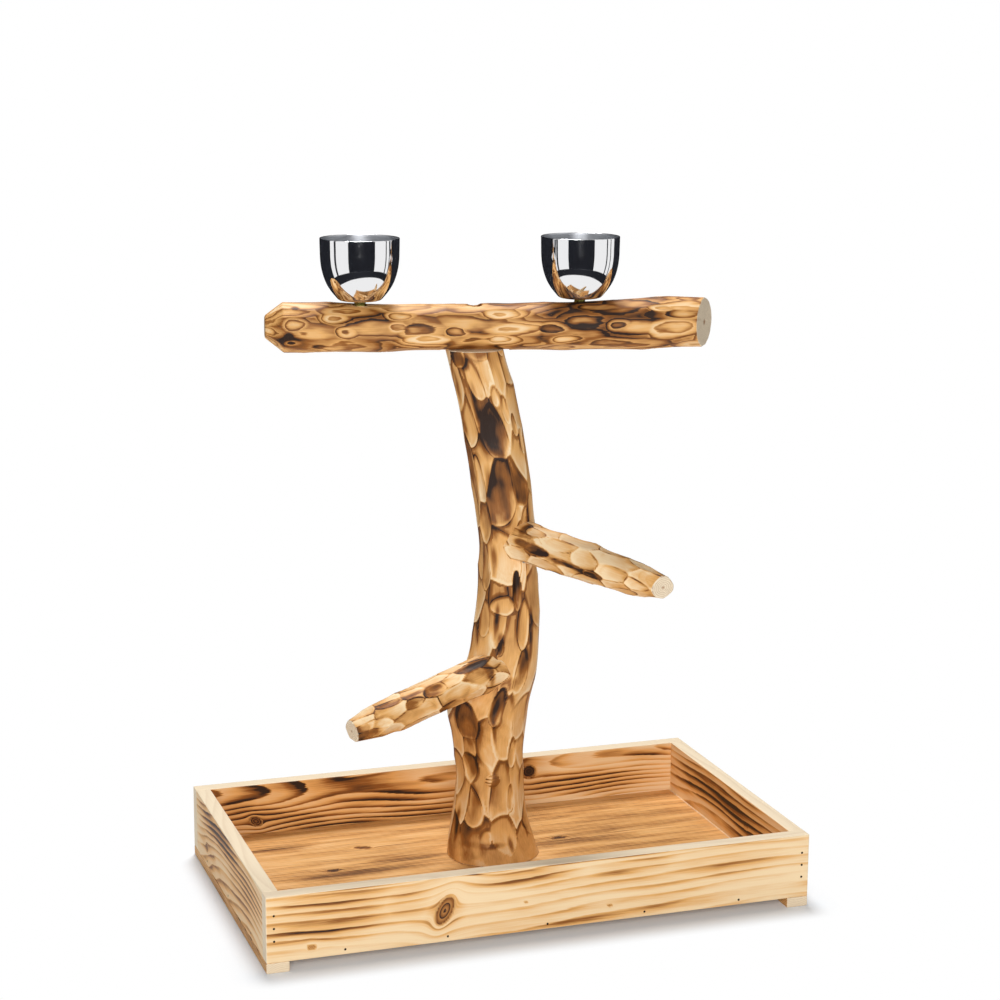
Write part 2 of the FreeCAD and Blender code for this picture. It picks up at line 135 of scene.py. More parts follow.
# Whittling (m): eased edge at a log's ends, rise of a cut's bowl at its rim, seam value where no ridge
# is near, and the width over which the shades of neighbouring cuts blend
LOG_ARRIS = 0.0012
CUT_RIM = 0.0006
NO_SEAM = 0.02
CUT_BLEND = 0.0014
# A cut's bowl bends more where the knife stopped and less where it came in
STOP_BEND = 1.9
START_BEND = 0.7
# Spread of the cuts between the listed ones, in the order of the draws: shift along and round in
# cells, half sizes over the usual ones, depth (mm), chance and amount of scorch, side of the scorch
CUT_SPREAD = {
    "along": (-0.42, 0.42), "round": (-0.34, 0.34), "half_width": (0.5, 0.85), "half_length": (0.5, 1.0),
    "depth": (0.5, 1.5), "chance": (0.0, 1.0), "burnt": (0.45, 1.0), "clean": (0.0, 0.25),
    "lean": (-0.8, 0.8),
}
# Share of a pocket's radius whose grid points make its flat floor
POCKET_FLOOR = 0.72

# Cuts given one by one: along (mm), angle round the log (degrees), half width, half length and depth
# (mm), scorch from 0, and where the scorch lies: -1 at the low end, 1 at the high end
TRUNK_CUTS = (
    (490, -101, 9, 25, 1.6, 0.05, 0), (516, -125, 7, 9, 1, 0.85, 0), (439, -86, 15, 30, 3.4, 0.6, 0.35),
    (477, -70, 5, 16, 1.2, 0.15, 0), (462, -55, 4.5, 18, 1.2, 0.2, 0), (448, -38, 5, 18, 1.4, 0.25, 0),
    (430, -24, 5, 20, 1.2, 0.2, 0), (377, -88, 15, 38, 3.4, 0.6, 0.3), (391, -134, 7, 30, 2.2, 0, 0),
    (314, -88, 20, 27, 2.4, 0.04, 0), (283, -72, 4, 27, 2.6, 1.15, 0.2), (266, -101, 14, 12, 2, 0.1, -0.6),
    (225, -96, 3.6, 11, 2.4, 0.85, 0), (163, -80, 6.5, 21, 3.4, 0.9, 0),
    (144, -124, 15, 23, 2.8, 0.75, 0.1), (99, -126, 11, 20, 2, 0.45, 0.3),
    (50, -115, 12, 27, 2, 0.22, -0.3), (26, -97, 7, 9, 1.4, 0.3, 0), (27, -67, 13, 22, 2.4, 0.02, 0),
    (110, -50, 6, 20, 1.6, 0.2, 0), (66, -52, 6, 20, 1.6, 0.22, 0), (198, -55, 9, 24, 1.8, 0.3, -0.5),
    (240, -60, 8, 24, 1.8, 0.12, 0), (340, -48, 8, 26, 1.6, 0.1, 0), (350, -135, 8, 24, 1.8, 0.45, 0.2),
    (300, -140, 8, 26, 1.8, 0.5, -0.2), (246, -132, 9, 24, 1.8, 0.35, 0),
)
# Darkened stretches, mostly scorch and a few of painted shade: along (mm), angle (degrees), half length, half
# width (mm), amount
TRUNK_SCORCH_AND_SHADE = (
    (446, -96, 32, 14, 1.2), (424, -82, 16, 5, 1), (472, -112, 24, 4, 0.8), (385, -98, 29, 15, 1.2),
    (364, -82, 14, 5, 0.9), (354, -110, 20, 5, 0.8), (378, -62, 14, 3, 0.7), (514, -116, 9, 6, 1.1),
    # The first two stretches on the next line, at -150 and -152 degrees, are painted shade down the trunk's left
    # side
    (470, -150, 40, 5, 0.8), (400, -152, 50, 5, 0.8), (314, -116, 20, 4, 0.6), (287, -76, 18, 2.5, 1.3),
    (252, -108, 20, 3.5, 1), (232, -98, 12, 5, 1.1), (236, -42, 36, 3, 0.9), (206, -54, 22, 6, 0.8),
    # The first stretch on the next line, at 190 mm, is a painted shadow below a branch's root
    (190, -72, 8, 14, 0.7), (167, -80, 18, 5, 1.3), (143, -114, 28, 13, 1.1), (105, -122, 20, 11, 0.9),
    (60, -113, 22, 8, 0.4), (120, -95, 110, 40, 0.25), (36, -148, 22, 5, 1), (21, -98, 4, 26, 0.75),
    (20, -58, 9, 3, 0.9), (10, -120, 8, 6, 0.6), (320, 40, 120, 12, 0.8), (160, 110, 90, 14, 0.8),
    (430, 150, 70, 12, 0.8),
)
# Branches: columns as for the trunk
RIGHT_BRANCH_CUTS = (
    (20, 118, 6.5, 16, 1.6, 0.1, 0), (30, 172, 5, 20, 1.8, 1.3, 0), (66, 186, 4.5, 22, 1.6, 1.2, 0),
    (98, 194, 4, 14, 1.4, 0.8, 0), (52, 142, 8, 20, 1.4, 0.05, 0), (60, 96, 9, 34, 1.2, 0, 0),
    (84, 158, 8, 17, 1.4, 0.1, 0), (116, 118, 9, 26, 1.2, 0, 0), (120, 172, 8, 16, 1.4, 0.05, 0),
    (150, 190, 7, 14, 1.2, 0, 0), (40, 214, 8, 22, 1.4, 0.1, 0), (6, 196, 8, 14, 1.4, 0.1, 0),
)
LEFT_BRANCH_CUTS = (
    (69, 48, 7, 17, 1.8, 0.8, 0.2), (52, -38, 8, 17, 1.6, 0.8, 0), (120, 66, 6, 16, 1.6, 0.6, 0),
    (100, 28, 6, 12, 1.5, 0.6, 0), (16, 66, 6, 24, 1.8, 0.9, 0), (18, 28, 8, 20, 1.4, 0.6, 0),
    (0, -10, 8, 12, 1.4, 0, 0), (96, -8, 10, 26, 1.4, 0.35, 0), (44, 4, 9, 22, 1.4, 0.35, 0),
    (140, 6, 6, 14, 1.2, 0.2, 0),
)
RIGHT_BRANCH_SCORCH = (
    (14, 166, 12, 4.5, 1.3), (34, 174, 20, 4, 1.3), (64, 184, 22, 3.5, 1.2), (94, 192, 18, 3, 1.1),
    (10, 120, 6, 12, 0.8),
)
LEFT_BRANCH_SCORCH = (
    (10, 30, 6, 16, 0.9), (16, 64, 18, 5, 1.1), (90, 60, 40, 3, 0.8),
)
PERCH_CUTS = (
    (-141, 150, 7, 20, 1.5, 0, 0), (-131, 183, 7.5, 16, 1.6, 0.9, 0), (-81, 143, 6.5, 17, 1.5, 0, 0),
    (-81, 172, 7, 15, 1.6, 0.05, 0), (-25, 186, 9, 17, 1.7, 0.8, 0), (-54, 204, 7, 32, 1.6, 0, 0),
    (-181, 214, 6, 14, 1.3, 0.7, 0), (-181, 168, 9, 15, 1.4, 0.3, 0), (71, 180, 8, 22, 1.7, 0.9, 0),
    (86, 206, 6, 22, 1.5, 0, 0), (119, 128, 6.5, 30, 1.5, 0.8, 0), (137, 174, 8.5, 18, 1.7, 1.3, 0),
    (182, 134, 6, 20, 1.4, 0, 0), (187, 186, 13, 34, 1.8, 0.1, 0), (-206, 190, 9, 12, 1.4, 0.4, 0),
    (20, 140, 8, 26, 1.5, 0.1, 0), (22, 208, 7, 22, 1.5, 0.2, 0),
)
# Knot stubs on the trunk: along (mm), angle (degrees), half width, half length, height, step (mm)
TRUNK_BUMPS = ((151, -76, 10, 8, 2.4, 40), (88, -86, 9.5, 8, 2.4, 3.4))
# Knots on the perch: along (mm), angle (degrees), radius (mm)
PERCH_KNOTS = ((-177.0, 118.0, 4.0), (-184.0, 196.0, 4.5))
PERCH_SCORCH = (
    (-110, 172, 42, 26, 0.7), (-181, 205, 24, 20, 0.8), (118, 168, 56, 28, 1.5), (165, 158, 40, 8, 1.2),
    (10, 176, 26, 14, 0.5), (40, 20, 120, 26, 0.8),
)

# Boards: the axes along and across the grain, how far the tree's heart lies from the board's middle
# across and through it, ring spacing and sway of the heart (all mm), seed of the sway, and slope of the
# heart along the board. Knots: x, y, z, half size across and along the grain (mm), lean of the oval.
# Scorch: x, y, z, half sizes in x, y and z (mm), amount. The heart sways in three waves (mm long); a
# knot fades over its depth (mm) and shows so many rings
HEART_PERIODS = (640.0, 350.0, 170.0)
KNOT_DEPTH = 9.0
KNOT_RINGS = 2.6
BOARDS = {
    "front_board": {
        "along": 0, "across": 2, "heart": (-62, 40), "spacing": 7.4, "wander": 5, "seed": 3, "slope": 0.014,
        "knots": (
            (-103, -165, 41, 14, 8.5, -0.35), (-232, -165, 21, 3, 4.5, 0), (64, -165, 26, 1.6, 2.6, 0),
            (-22, -165, 40, 1, 1.4, 0),
        ),
        "scorch": (
            (-225, -165, 50, 75, 8, 34, 0.9), (-140, -165, 52, 30, 8, 16, 0.5),
            (-190, -165, 74.3, 70, 2.2, 1.6, 2.6), (-60, -165, 74.6, 40, 2.2, 1.4, 2),
            (60, -165, 74.3, 70, 2.2, 1.8, 2.4), (190, -165, 74.4, 60, 2.2, 1.6, 2),
            (-20, -165, 64, 60, 8, 9, 0.9), (90, -165, 62, 50, 8, 10, 0.7), (180, -165, 56, 70, 8, 12, 0.6),
            (-103, -165, 41, 20, 6, 20, 0.7), (-10, -165, 14, 90, 8, 5, 0.6),
            (150, -165, 20, 60, 8, 8, 0.5),
        ),
    },
    "back_board": {
        "along": 0, "across": 2, "heart": (24, -26), "spacing": 4.6, "wander": 10, "seed": 5,
        "knots": (
            (92, 150, 58, 6.5, 7.5, 0), (-212, 150, 34, 5, 6, 0.4),
        ),
        "scorch": (
            (-205, 150, 72, 90, 8, 12, 1.7), (-90, 150, 46, 170, 8, 12, 1.5),
            (150, 150, 40, 120, 8, 16, 1.2), (120, 150, 68, 160, 8, 8, 1), (-60, 165, 40, 300, 8, 60, 0.6),
            (-60, 150, 26, 200, 8, 10, 1.3), (-140, 152, 44, 150, 8, 50, 1.5),
            (-226, 152, 56, 30, 8, 20, 1.6), (-60, 152, 58, 60, 8, 5, 1.8), (92, 150, 58, 9, 6, 9, 3),
            (170, 150, 46, 70, 6, 4, 1.6), (230, 150, 66, 40, 6, 6, 1.4),
        ),
    },
    "left_board": {
        "along": 1, "across": 2, "heart": (-50, 44), "spacing": 5, "wander": 9, "seed": 8,
        "knots": ((-275, 100, 30, 4, 5, 0),),
        "scorch": (
            (-275, 40, 64, 8, 110, 14, 1.6), (-275, -60, 44, 8, 100, 36, 0.7),
            (-275, 90, 36, 8, 50, 30, 0.8), (-260, 40, 50, 6, 120, 30, 0.8),
            (-275, -20, 44, 8, 150, 40, 0.5),
        ),
    },
    "right_board": {
        "along": 1, "across": 2, "heart": (-46, -50), "spacing": 6.4, "wander": 9, "seed": 11,
        "knots": ((275, -50, 44, 4, 5, 0),),
        "scorch": (
            (260, 20, 52, 8, 160, 22, 2), (260, -60, 34, 8, 100, 22, 1.7), (275, 0, 40, 8, 160, 40, 0.6),
            (258, 0, 45, 8, 160, 45, 0.9),
        ),
    },
    "floor_panel": {
        "along": 0, "across": 1, "heart": (-230, -20), "spacing": 3.3, "wander": 5, "seed": 14,
        "knots": (
            (-162, 22, 20, 3.4, 7, 0), (-168, -62, 20, 2.2, 4, 0), (88, 42, 20, 3.4, 8, 0),
            (-116, 76, 20, 5, 8, 0.9),
        ),
        "scorch": (
            (-150, 10, 20, 80, 16, 6, 0.9), (-80, 34, 20, 50, 8, 6, 1.2), (-200, 96, 20, 40, 10, 6, 0.9),
            (120, 30, 20, 90, 10, 6, 0.7), (-100, -70, 20, 120, 30, 6, 0.35),
            (160, -50, 20, 90, 20, 6, 0.35), (60, 110, 20, 160, 12, 6, 0.35),
            (170, 0, 20, 130, 150, 6, 0.25),
        ),
    },
    "left_runner": {
        "along": 1, "across": 0, "heart": (6, -20), "spacing": 1.8, "wander": 5, "seed": 17,
        "knots": (),
        "scorch": ((-275, 0, 6, 6, 170, 8, 0.3),),
    },
    "right_runner": {
        "along": 1, "across": 0, "heart": (-7, -22), "spacing": 1.8, "wander": 5, "seed": 18,
        "knots": (),
        "scorch": ((275, 0, 6, 6, 170, 8, 0.3),),
    },
}

# Cup: radius and height (mm) of its outside from the bolt hole to the rim, of the rounded rim, and wall
CUP_OUTLINE = ((3.1, 0), (10, 0), (17, 0), (20.4, 0.9), (24.4, 4.9), (28.5, 10), (32.4, 16.4),
               (35.4, 24), (37.4, 32), (38.4, 40), (38.75, 50), (38.95, 60.2))
CUP_RIM = ((38.93, 60.75), (38.7, 61.0), (38.3, 61.0), (38.05, 60.75))
CUP_WALL = 1.0
CUP_STEPS = 64

# Dark screens round the cups: radii and heights (m), ranges of azimuth from the camera's (degrees)
SCREEN_RADIUS = 1.25
SCREEN_INNER_RADIUS = 0.8
SCREEN_FOOT = 0.004
SCREEN_TOP = 2.4
SCREEN_AZIMUTHS = ((-180.0, -90.0), (-77.0, -71.0), (-35.0, 44.0), (83.0, 87.0), (97.0, 100.0),
                   (113.0, 180.0))
SCREEN_COLUMNS = 49
BLACK_CLOTH = (0.02, 0.021, 0.026, 1.0)
WHITE = (1.0, 1.0, 1.0, 1.0)

# Paper floor: radii of its rings (m) inside its edge, and sides
FLOOR_RADII = (0.001, 0.3, 0.6, 1.0, 1.5, 3.0, 7.0)
FLOOR_SIDES = 64

# Lamps: place and diameter (m), and the setting that holds the power; all aim at one point
LAMPS = {"top_lamp": ((0.1, 1.1, 2.6), 0.9, "top"), "front_lamp": ((-0.75, -2.35, 1.0), 1.4, "front")}
LAMP_AIM = (0.0, 0.0, 0.28)

# Brads through the boards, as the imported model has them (mm)
BRAD_RADIUS = 0.8
BRAD_HEAD_RADIUS = 1.15
BRAD_LENGTH = 35.0
BRAD_PROUD = 0.06
BRAD_SIDES = 12
# The boards lie back by this much (mm), so that the brads' heads show at the outer faces
BOARD_SETBACK = 0.1
BOARD_INWARDS = {"front_board": (0.0, 1.0, 0.0), "back_board": (0.0, -1.0, 0.0),
                 "left_board": (1.0, 0.0, 0.0), "right_board": (-1.0, 0.0, 0.0)}
# Eased edges of the panel (mm), and grid step of panel and runners over that of the boards
PANEL_ARRIS = 0.2
COARSE_STEP = 1.4
# Places of the brads (mm)
CORNER_BRAD_INSET = 7.5
CORNER_BRAD_FIRST = 21.0
CORNER_BRAD_PITCH = 12.5
CORNER_BRAD_COUNT = 3
PANEL_BRAD_HEIGHT = 15.0
LONG_SIDE_BRADS = (-200.0, -100.0, 0.0, 100.0, 200.0)
SHORT_SIDE_BRADS = (-100.0, 0.0, 100.0)


def linear(code):
    """Linear colour of an sRGB hex code."""
    parts = [int(code[start:start + 2], 16) / 255.0 for start in (1, 3, 5)]
    return [part / 12.92 if part <= 0.04045 else ((part + 0.055) / 1.055) ** 2.4 for part in parts]


# Settings

def length_setting(name, description, default):
    return bpy.props.FloatProperty(name=name, description=description, default=default, unit="LENGTH",
                                   precision=5)


def colour_setting(name, description, code):
    return bpy.props.FloatVectorProperty(name=name, description=description, default=linear(code),
                                         size=3, min=0.0, max=1.0, subtype="COLOR")


def share_setting(name, description, default):
    return bpy.props.FloatProperty(name=name, description=description, default=default, min=0.0, max=1.0,
                                   subtype="FACTOR")


def power_setting(name, description, default):
    return bpy.props.FloatProperty(name=name, description=description, default=default, unit="POWER")


class PlayStandWood(bpy.types.PropertyGroup):
    """Wood and the way it was worked."""
    raw: colour_setting("Raw pine", "Pine that the flame hardly touched", "#F4D7AB")
    toasted: colour_setting("Toasted pine", "Pine warmed to honey", "#E2AA64")
    browned: colour_setting("Browned pine", "Pine scorched brown", "#945A22")
    burnt: colour_setting("Burnt pine", "Pine burnt nearly black", "#2B170A")
    sawn: colour_setting("Sawn pine", "End grain and sawn edges", "#F3E2C4")
    fibre_width: length_setting("Fibre width", "Width of the fine streaks across the grain", 1.1 * MM)
    fibre_length: length_setting("Fibre length", "Length of the fine streaks", 38.0 * MM)
    cut_width: length_setting("Cut width", "Usual width of a knife cut", 15.0 * MM)
    cut_length: length_setting("Cut length", "Usual length of a knife cut", 38.0 * MM)
    log_step: length_setting("Log step", "Grid spacing on the logs", 1.25 * MM)
    board_step: length_setting("Board step", "Grid spacing on the boards", 1.7 * MM)
    board_arris: length_setting("Board arris", "Radius of the eased edges of the boards", 0.8 * MM)


class PlayStandMetal(bpy.types.PropertyGroup):
    """Cups and fasteners."""
    steel: colour_setting("Stainless steel", "Polished stainless steel", "#ECECED")
    satin: colour_setting("Satin steel", "Brushed inside of the cups", "#C2C4C8")
    zinc: colour_setting("Zinc", "Bright zinc on screws and washers", "#B9BCC0")
    # Near black: painted shade of the nail holes round the brad heads
    brad: colour_setting("Brad steel", "Brads blued by the flame", "#2C231D")
    yellow_zinc: colour_setting("Yellow zinc", "Yellow passivated zinc on the nuts", "#8C8346")
    brass: colour_setting("Brass", "Turned brass bush", "#C9A24F")
    cup_sides: bpy.props.IntProperty(name="Cup sides", description="Facets round a cup", default=144,
                                     subtype="UNSIGNED")


class PlayStandStage(bpy.types.PropertyGroup):
    """Floor, lamps and sky."""
    floor: colour_setting("Floor", "Paper under the stand", "#EDF1F6")
    floor_radius: length_setting("Floor radius", "Reach of the paper floor", 14.0)
    paper_glow: share_setting("Paper glow", "Share of plain white in the lit paper", 0.05)
    shadow_reach: length_setting("Shadow reach", "How far off the tray the paper fades to white", 0.038)
    sky: share_setting("Sky", "Strength of the even light", 0.22)
    top: power_setting("Top lamp", "Power of the lamp above and behind", 60.0)
    front: power_setting("Front lamp", "Power of the front lamp", 42.0)


# Meshes

def heading(azimuth, slope=0.0):
    """Unit vector at an azimuth from +X, rising by a slope, both in degrees."""
    turn, rise = math.radians(azimuth), math.radians(slope)
    return np.array([math.cos(turn) * math.cos(rise), math.sin(turn) * math.cos(rise), math.sin(rise)])


def smooth(value):
    """Soft step: 0 below 0, 1 above 1, and 3v^2 - 2v^3 between."""
    value = np.clip(value, 0.0, 1.0)
    return value * value * (3.0 - 2.0 * value)


def turn_gap(angle, turn):
    """Angle from a turn to an angle (radians), the short way round."""
    return np.mod(angle - turn + math.pi, 2.0 * math.pi) - math.pi


def metres(rows, lengths):
    """Rows of a place (mm), a turn (degrees), so many lengths (mm) and the rest, in metres and radians."""
    return [(place * MM, math.radians(turn), *(size * MM for size in rest[:lengths]), *rest[lengths:])
            for place, turn, *rest in rows]


def through(rows, column, at):
    """Smooth curve through a column of rows: cubics whose slope at a row is that of its neighbours."""
    rows = np.array(rows, float)
    knots, values = rows[:, 0], rows[:, column]
    slopes = np.gradient(values, knots)
    index = np.clip(np.searchsorted(knots, at) - 1, 0, len(knots) - 2)
    span = knots[index + 1] - knots[index]
    share = (at - knots[index]) / span
    return ((2 * share ** 3 - 3 * share ** 2 + 1) * values[index]
            + (share ** 3 - 2 * share ** 2 + share) * span * slopes[index]
            + (3 * share ** 2 - 2 * share ** 3) * values[index + 1]
            + (share ** 3 - share ** 2) * span * slopes[index + 1])


def piece(name, points, faces, body, material, replaced=(), values=None, flat=None):
    """A mesh object on a body, with per-point values, standing for CAD nodes."""
    mesh = bpy.data.meshes.new(name)
    mesh.from_pydata(np.asarray(points).tolist(), [], faces)
    for key, array in (values or {}).items():
        kind = "FLOAT_VECTOR" if array.ndim == 2 else "FLOAT"
        layer = mesh.attributes.new(key, kind, "POINT")
        field = "vector" if array.ndim == 2 else "value"
        layer.data.foreach_set(field, np.ascontiguousarray(array, np.float32).ravel())
    shading = np.ones(len(mesh.polygons), bool)
    if flat is not None:
        shading[flat] = False
    mesh.polygons.foreach_set("use_smooth", shading)
    mesh.materials.append(material)
    mesh.update()
    obj = bpy.data.objects.new(name, mesh)
    bpy.context.scene.collection.objects.link(obj)
    if body:
        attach(obj, body)
    if replaced:
        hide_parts(*replaced)
    return obj


def ring_faces(rows, around):
    """Quads between neighbouring rings of a grid that closes round each ring."""
    low = np.arange(rows - 1)[:, None] * around
    here = np.arange(around)[None, :]
    after = (here + 1) % around
    quads = np.stack([low + here, low + after, low + around + after, low + around + here], -1)
    return quads.reshape(-1, 4).tolist()


def whittled(along, angle, radius, cuts):
    """Knife cuts over a log.

    Each cut is a shallow bowl: minus its depth, plus the square of the distance across over twice
    one radius, plus the square of the distance along over twice another, which is tighter at the end
    where the knife stopped. The surface is the lowest bowl at each point. The seam value is the gap
    to the next lowest bowl over the slope of that gap, which is the distance to the ridge between.
    Also given are the numbers of the lowest and of the next lowest bowl.
    """
    shape = along.shape
    # Of the lowest bowl and of the next: height, slope across, slope along and number
    lowest = [np.full(shape, 1.0), np.zeros(shape), np.zeros(shape), np.zeros(shape, int)]
    second = list(lowest)
    for index, (place, turn, half_width, half_length, depth) in enumerate(cuts[:, :5]):
        across = turn_gap(angle, turn) * radius
        lengthwise = along - place
        rise = depth + CUT_RIM
        bend = 2.0 * rise / half_width ** 2
        run = 2.0 * rise / half_length ** 2 * np.where(lengthwise < 0.0, STOP_BEND, START_BEND)
        height = -depth + across ** 2 * bend / 2.0 + lengthwise ** 2 * run / 2.0
        leads = height < lowest[0]
        follows = ~leads & (height < second[0])
        for part, value in enumerate((height, across * bend, lengthwise * run, index)):
            second[part] = np.where(leads, lowest[part], np.where(follows, value, second[part]))
            lowest[part] = np.where(leads, value, lowest[part])
    steepness = np.hypot(lowest[1] - second[1], lowest[2] - second[2]) + 1e-4
    seam = np.clip((second[0] - lowest[0]) / steepness, 0.0, NO_SEAM)
    return lowest[0], seam, lowest[3], second[3]


def cut_values(log, cuts, owner, along, angle, radius):
    """Burn, tone, and painted shade on one side of the owning cut, for each point."""
    distance = turn_gap(angle, cuts[owner, 1]) * radius / cuts[owner, 2]
    lengthwise = (along - cuts[owner, 0]) / cuts[owner, 3]
    inside = np.exp(-log.get("gather", 0.35) * np.hypot(distance, lengthwise) ** 2)
    lean = np.clip(1.0 + cuts[owner, 6] * lengthwise, 0.0, 1.5)
    draw = np.random.default_rng(log["seed"] + 100)
    tone = draw.uniform(0.0, 1.0, len(cuts))[owner]
    # Painted shade: each cut is darker on one side, as if light fell across it from a random direction
    lit_from = draw.uniform(-0.5, 1.2, len(cuts))[owner]
    sided = smooth((np.cos(lit_from) * lengthwise - np.sin(lit_from) * distance) * 0.6 + 0.35)
    return np.stack([cuts[owner, 5] * inside * lean, tone, sided])


def all_cuts(placed, log, wood, radius, scorched, size=1.0, stretch=1.0):
    """Listed cuts and, between them, cuts on a jittered brick pattern (columns as in the tables)."""
    draw = np.random.default_rng(log["seed"])
    start, end = log["start"], log["end"]
    hand = np.array(metres(placed, 3))
    width, length = wood.cut_width * size, wood.cut_length * size * stretch
    around = max(6, round(2.0 * math.pi * radius / width))
    rows = max(3, round((end - start) / length))
    level, column = np.meshgrid(np.arange(-1, rows + 1), np.arange(around), indexing="ij")
    spread = {key: draw.uniform(low, high, level.size) for key, (low, high) in CUT_SPREAD.items()}
    places = start + (level.ravel() + 0.5 + spread["along"]) * (end - start) / rows
    turns = (column.ravel() + 0.5 * (level.ravel() % 2) + spread["round"]) / around * 2.0 * math.pi
    burns = np.where(spread["chance"] < scorched, spread["burnt"], spread["clean"])
    loose = np.stack([places, turns, width * spread["half_width"], length * spread["half_length"],
                      spread["depth"] * MM, burns, spread["lean"]], -1)
    across = turn_gap(loose[:, None, 1], hand[None, :, 1]) * radius
    lengthwise = loose[:, None, 0] - hand[None, :, 0]
    taken = (np.abs(across) < 0.75 * hand[None, :, 2]) & (np.abs(lengthwise) < 0.85 * hand[None, :, 3])
    return np.concatenate([hand, loose[~taken.any(1)]])


def log_piece(name, body, material, wood, log, cuts, sinks=(), shape=None, replaced=()):
    """A whittled log.

    A point is the origin, plus the distance along the axis, plus the lean and rise of the log's
    middle, plus a radius with two and three low lobes turned round it and lowered by the knife cuts.
    The grid leans over near an end that is sawn at a slant, and closes in a fan at each end.
    """
    axis, side, up = log["axis"], log["side"], log["up"]
    start, end = log["start"], log["end"]
    rows = log["rows"]
    middle_radius = float(np.mean([row[3] for row in rows])) * MM
    around = int(2.0 * math.pi * middle_radius / wood.log_step / 2) * 2
    ends = np.array([0.0, 0.1, 0.35, 0.7, 1.0]) * LOG_ARRIS
    inner = np.linspace(start + LOG_ARRIS, end - LOG_ARRIS, int((end - start) / wood.log_step))
    stations = np.concatenate([start + ends[:-1], inner, end - ends[::-1][1:]])
    angle = np.arange(around) * 2.0 * math.pi / around
    along, angle = np.meshgrid(stations, angle, indexing="ij")
    share = (along - start) / (end - start)
    reach = (np.cos(angle)[..., None] * side + np.sin(angle)[..., None] * up)
    tilt = reach @ log["end_normal"] / (axis @ log["end_normal"])
    end_radius = through(rows, 3, np.array([end / MM]))[0] * MM
    along = along - tilt * end_radius * smooth((share - 0.8) / 0.2) * np.clip(share, 0, 1)
    level = along / MM
    radius = through(rows, 3, np.clip(level, rows[0][0], rows[-1][0])) * MM
    phase = LOG_TWIST * level / LOG_TWIST_RUN
    whole = radius * (1.0 + LOG_LOBE_TWO * np.cos(2.0 * angle + phase)
                      + LOG_LOBE_THREE * np.cos(3.0 * angle - 2.0 * phase))
    plain = whole
    if "cone" in log:
        plain = np.minimum(plain, log["cone"][0] + log["cone"][1] * (along - start))
    offset, seam, owner, other = whittled(along, angle, radius, cuts)
    fade = 0.25 + 0.75 * smooth((along - start) / log["skirt"]) if "skirt" in log else 1.0
    seam = seam + NO_SEAM * (1.0 - fade)
    near_end = np.minimum(stations - start, end - stations)[:, None]
    drop = 1.0 - np.clip(near_end / LOG_ARRIS, 0, 1)
    easing = LOG_ARRIS * (1.0 - np.sqrt(np.clip(1.0 - drop ** 2, 0, 1)))
    cut_radius = plain + offset * fade - easing
    for place, turn, half_width, half_length, height, pitch in log.get("bumps", ()):
        far = np.hypot(turn_gap(angle, turn) * radius / half_width, (along - place) / half_length)
        step = np.abs(np.mod((along - place) / pitch, 1.0) - 0.5)
        cut_radius = cut_radius + height * smooth(1.4 - 1.3 * far) * (0.75 + 0.5 * step)
        seam = np.where(far < 0.85, np.minimum(seam, step * pitch), seam)
    lean, lift = (through(rows, column, level)[..., None] * MM for column in (1, 2))
    middle = np.array(log["origin"]) + along[..., None] * axis + lean * side + lift * up
    points = middle + reach * cut_radius[..., None]
    # Burn, tone and painted one-side shade of the owning cut, blended across the seam with the next cut's
    own = cut_values(log, cuts, owner, along, angle, radius)
    beside = cut_values(log, cuts, other, along, angle, radius)
    burn, tone, sided = beside + (own - beside) * (0.5 + 0.5 * smooth(seam / CUT_BLEND))
    # 1 on the ridges between the cuts, 0 in their hollows
    ridge = smooth((offset + 0.0014) / 0.0022)
    # Scorched stretches darken the wood; on the trunk a few of them are painted shade
    for place, turn, half_length, half_width, amount in log.get("scorch", ()):
        gap = turn_gap(angle, turn) * radius / half_width
        spot = amount * smooth(1.3 - np.hypot(gap, (along - place) / half_length))
        spot = spot * (1.0 - log.get("spared", 0.15) * (1.0 - ridge))
        burn = np.maximum(burn, spot) + 0.35 * np.minimum(burn, spot)
    knot = np.zeros_like(burn)
    for place, turn, size in log.get("knots", ()):
        gap = turn_gap(angle, turn) * radius
        knot = np.maximum(knot, smooth(1.4 - np.hypot(gap, along - place) / size))
    grain = np.stack([np.cos(angle) * cut_radius, np.sin(angle) * cut_radius, along], -1)
    bare = np.zeros_like(burn)
    bare[:3] = 1.0 if log.get("bare_start", True) else 0.0
    bare[-3:] = 1.0
    flat_points = points.reshape(-1, 3)
    for foot, outward, bore in sinks:
        flat_points = sink(flat_points, foot, outward, bore)
    if shape is not None:
        flat_points = shape(flat_points)
    values = {"grain": grain, "ring": (whole + offset) / log["ring_spacing"], "scorch": burn, "seam": seam,
              "tone": tone, "knot": knot, "sided": sided, "ridge": ridge, "bare": bare}
    values = {key: array.reshape(-1, *array.shape[2:]) for key, array in values.items()}
    faces = ring_faces(len(stations), around)
    last = len(flat_points) - around
    caps = []
    for first, flip in ((0, True), (last, False)):
        rim = flat_points[first:first + around]
        centre = len(flat_points)
        flat_points = np.concatenate([flat_points, rim.mean(0)[None]])
        lone = {**dict.fromkeys(values, 0.0), "grain": values["grain"][first:first + around].mean(0),
                "seam": NO_SEAM, "tone": 0.5, "knot": 0.4, "bare": 1.0}
        values = {key: np.concatenate([array, np.full((1,) + array.shape[1:], lone[key])])
                  for key, array in values.items()}
        here = first + np.arange(around)
        after = first + (np.arange(around) + 1) % around
        pair = (after, here) if flip else (here, after)
        caps += np.stack([np.full(around, centre), *pair], -1).tolist()
    flat = np.arange(len(faces), len(faces) + len(caps))
    return piece(name, flat_points, faces + caps, body, material, replaced, values, flat)


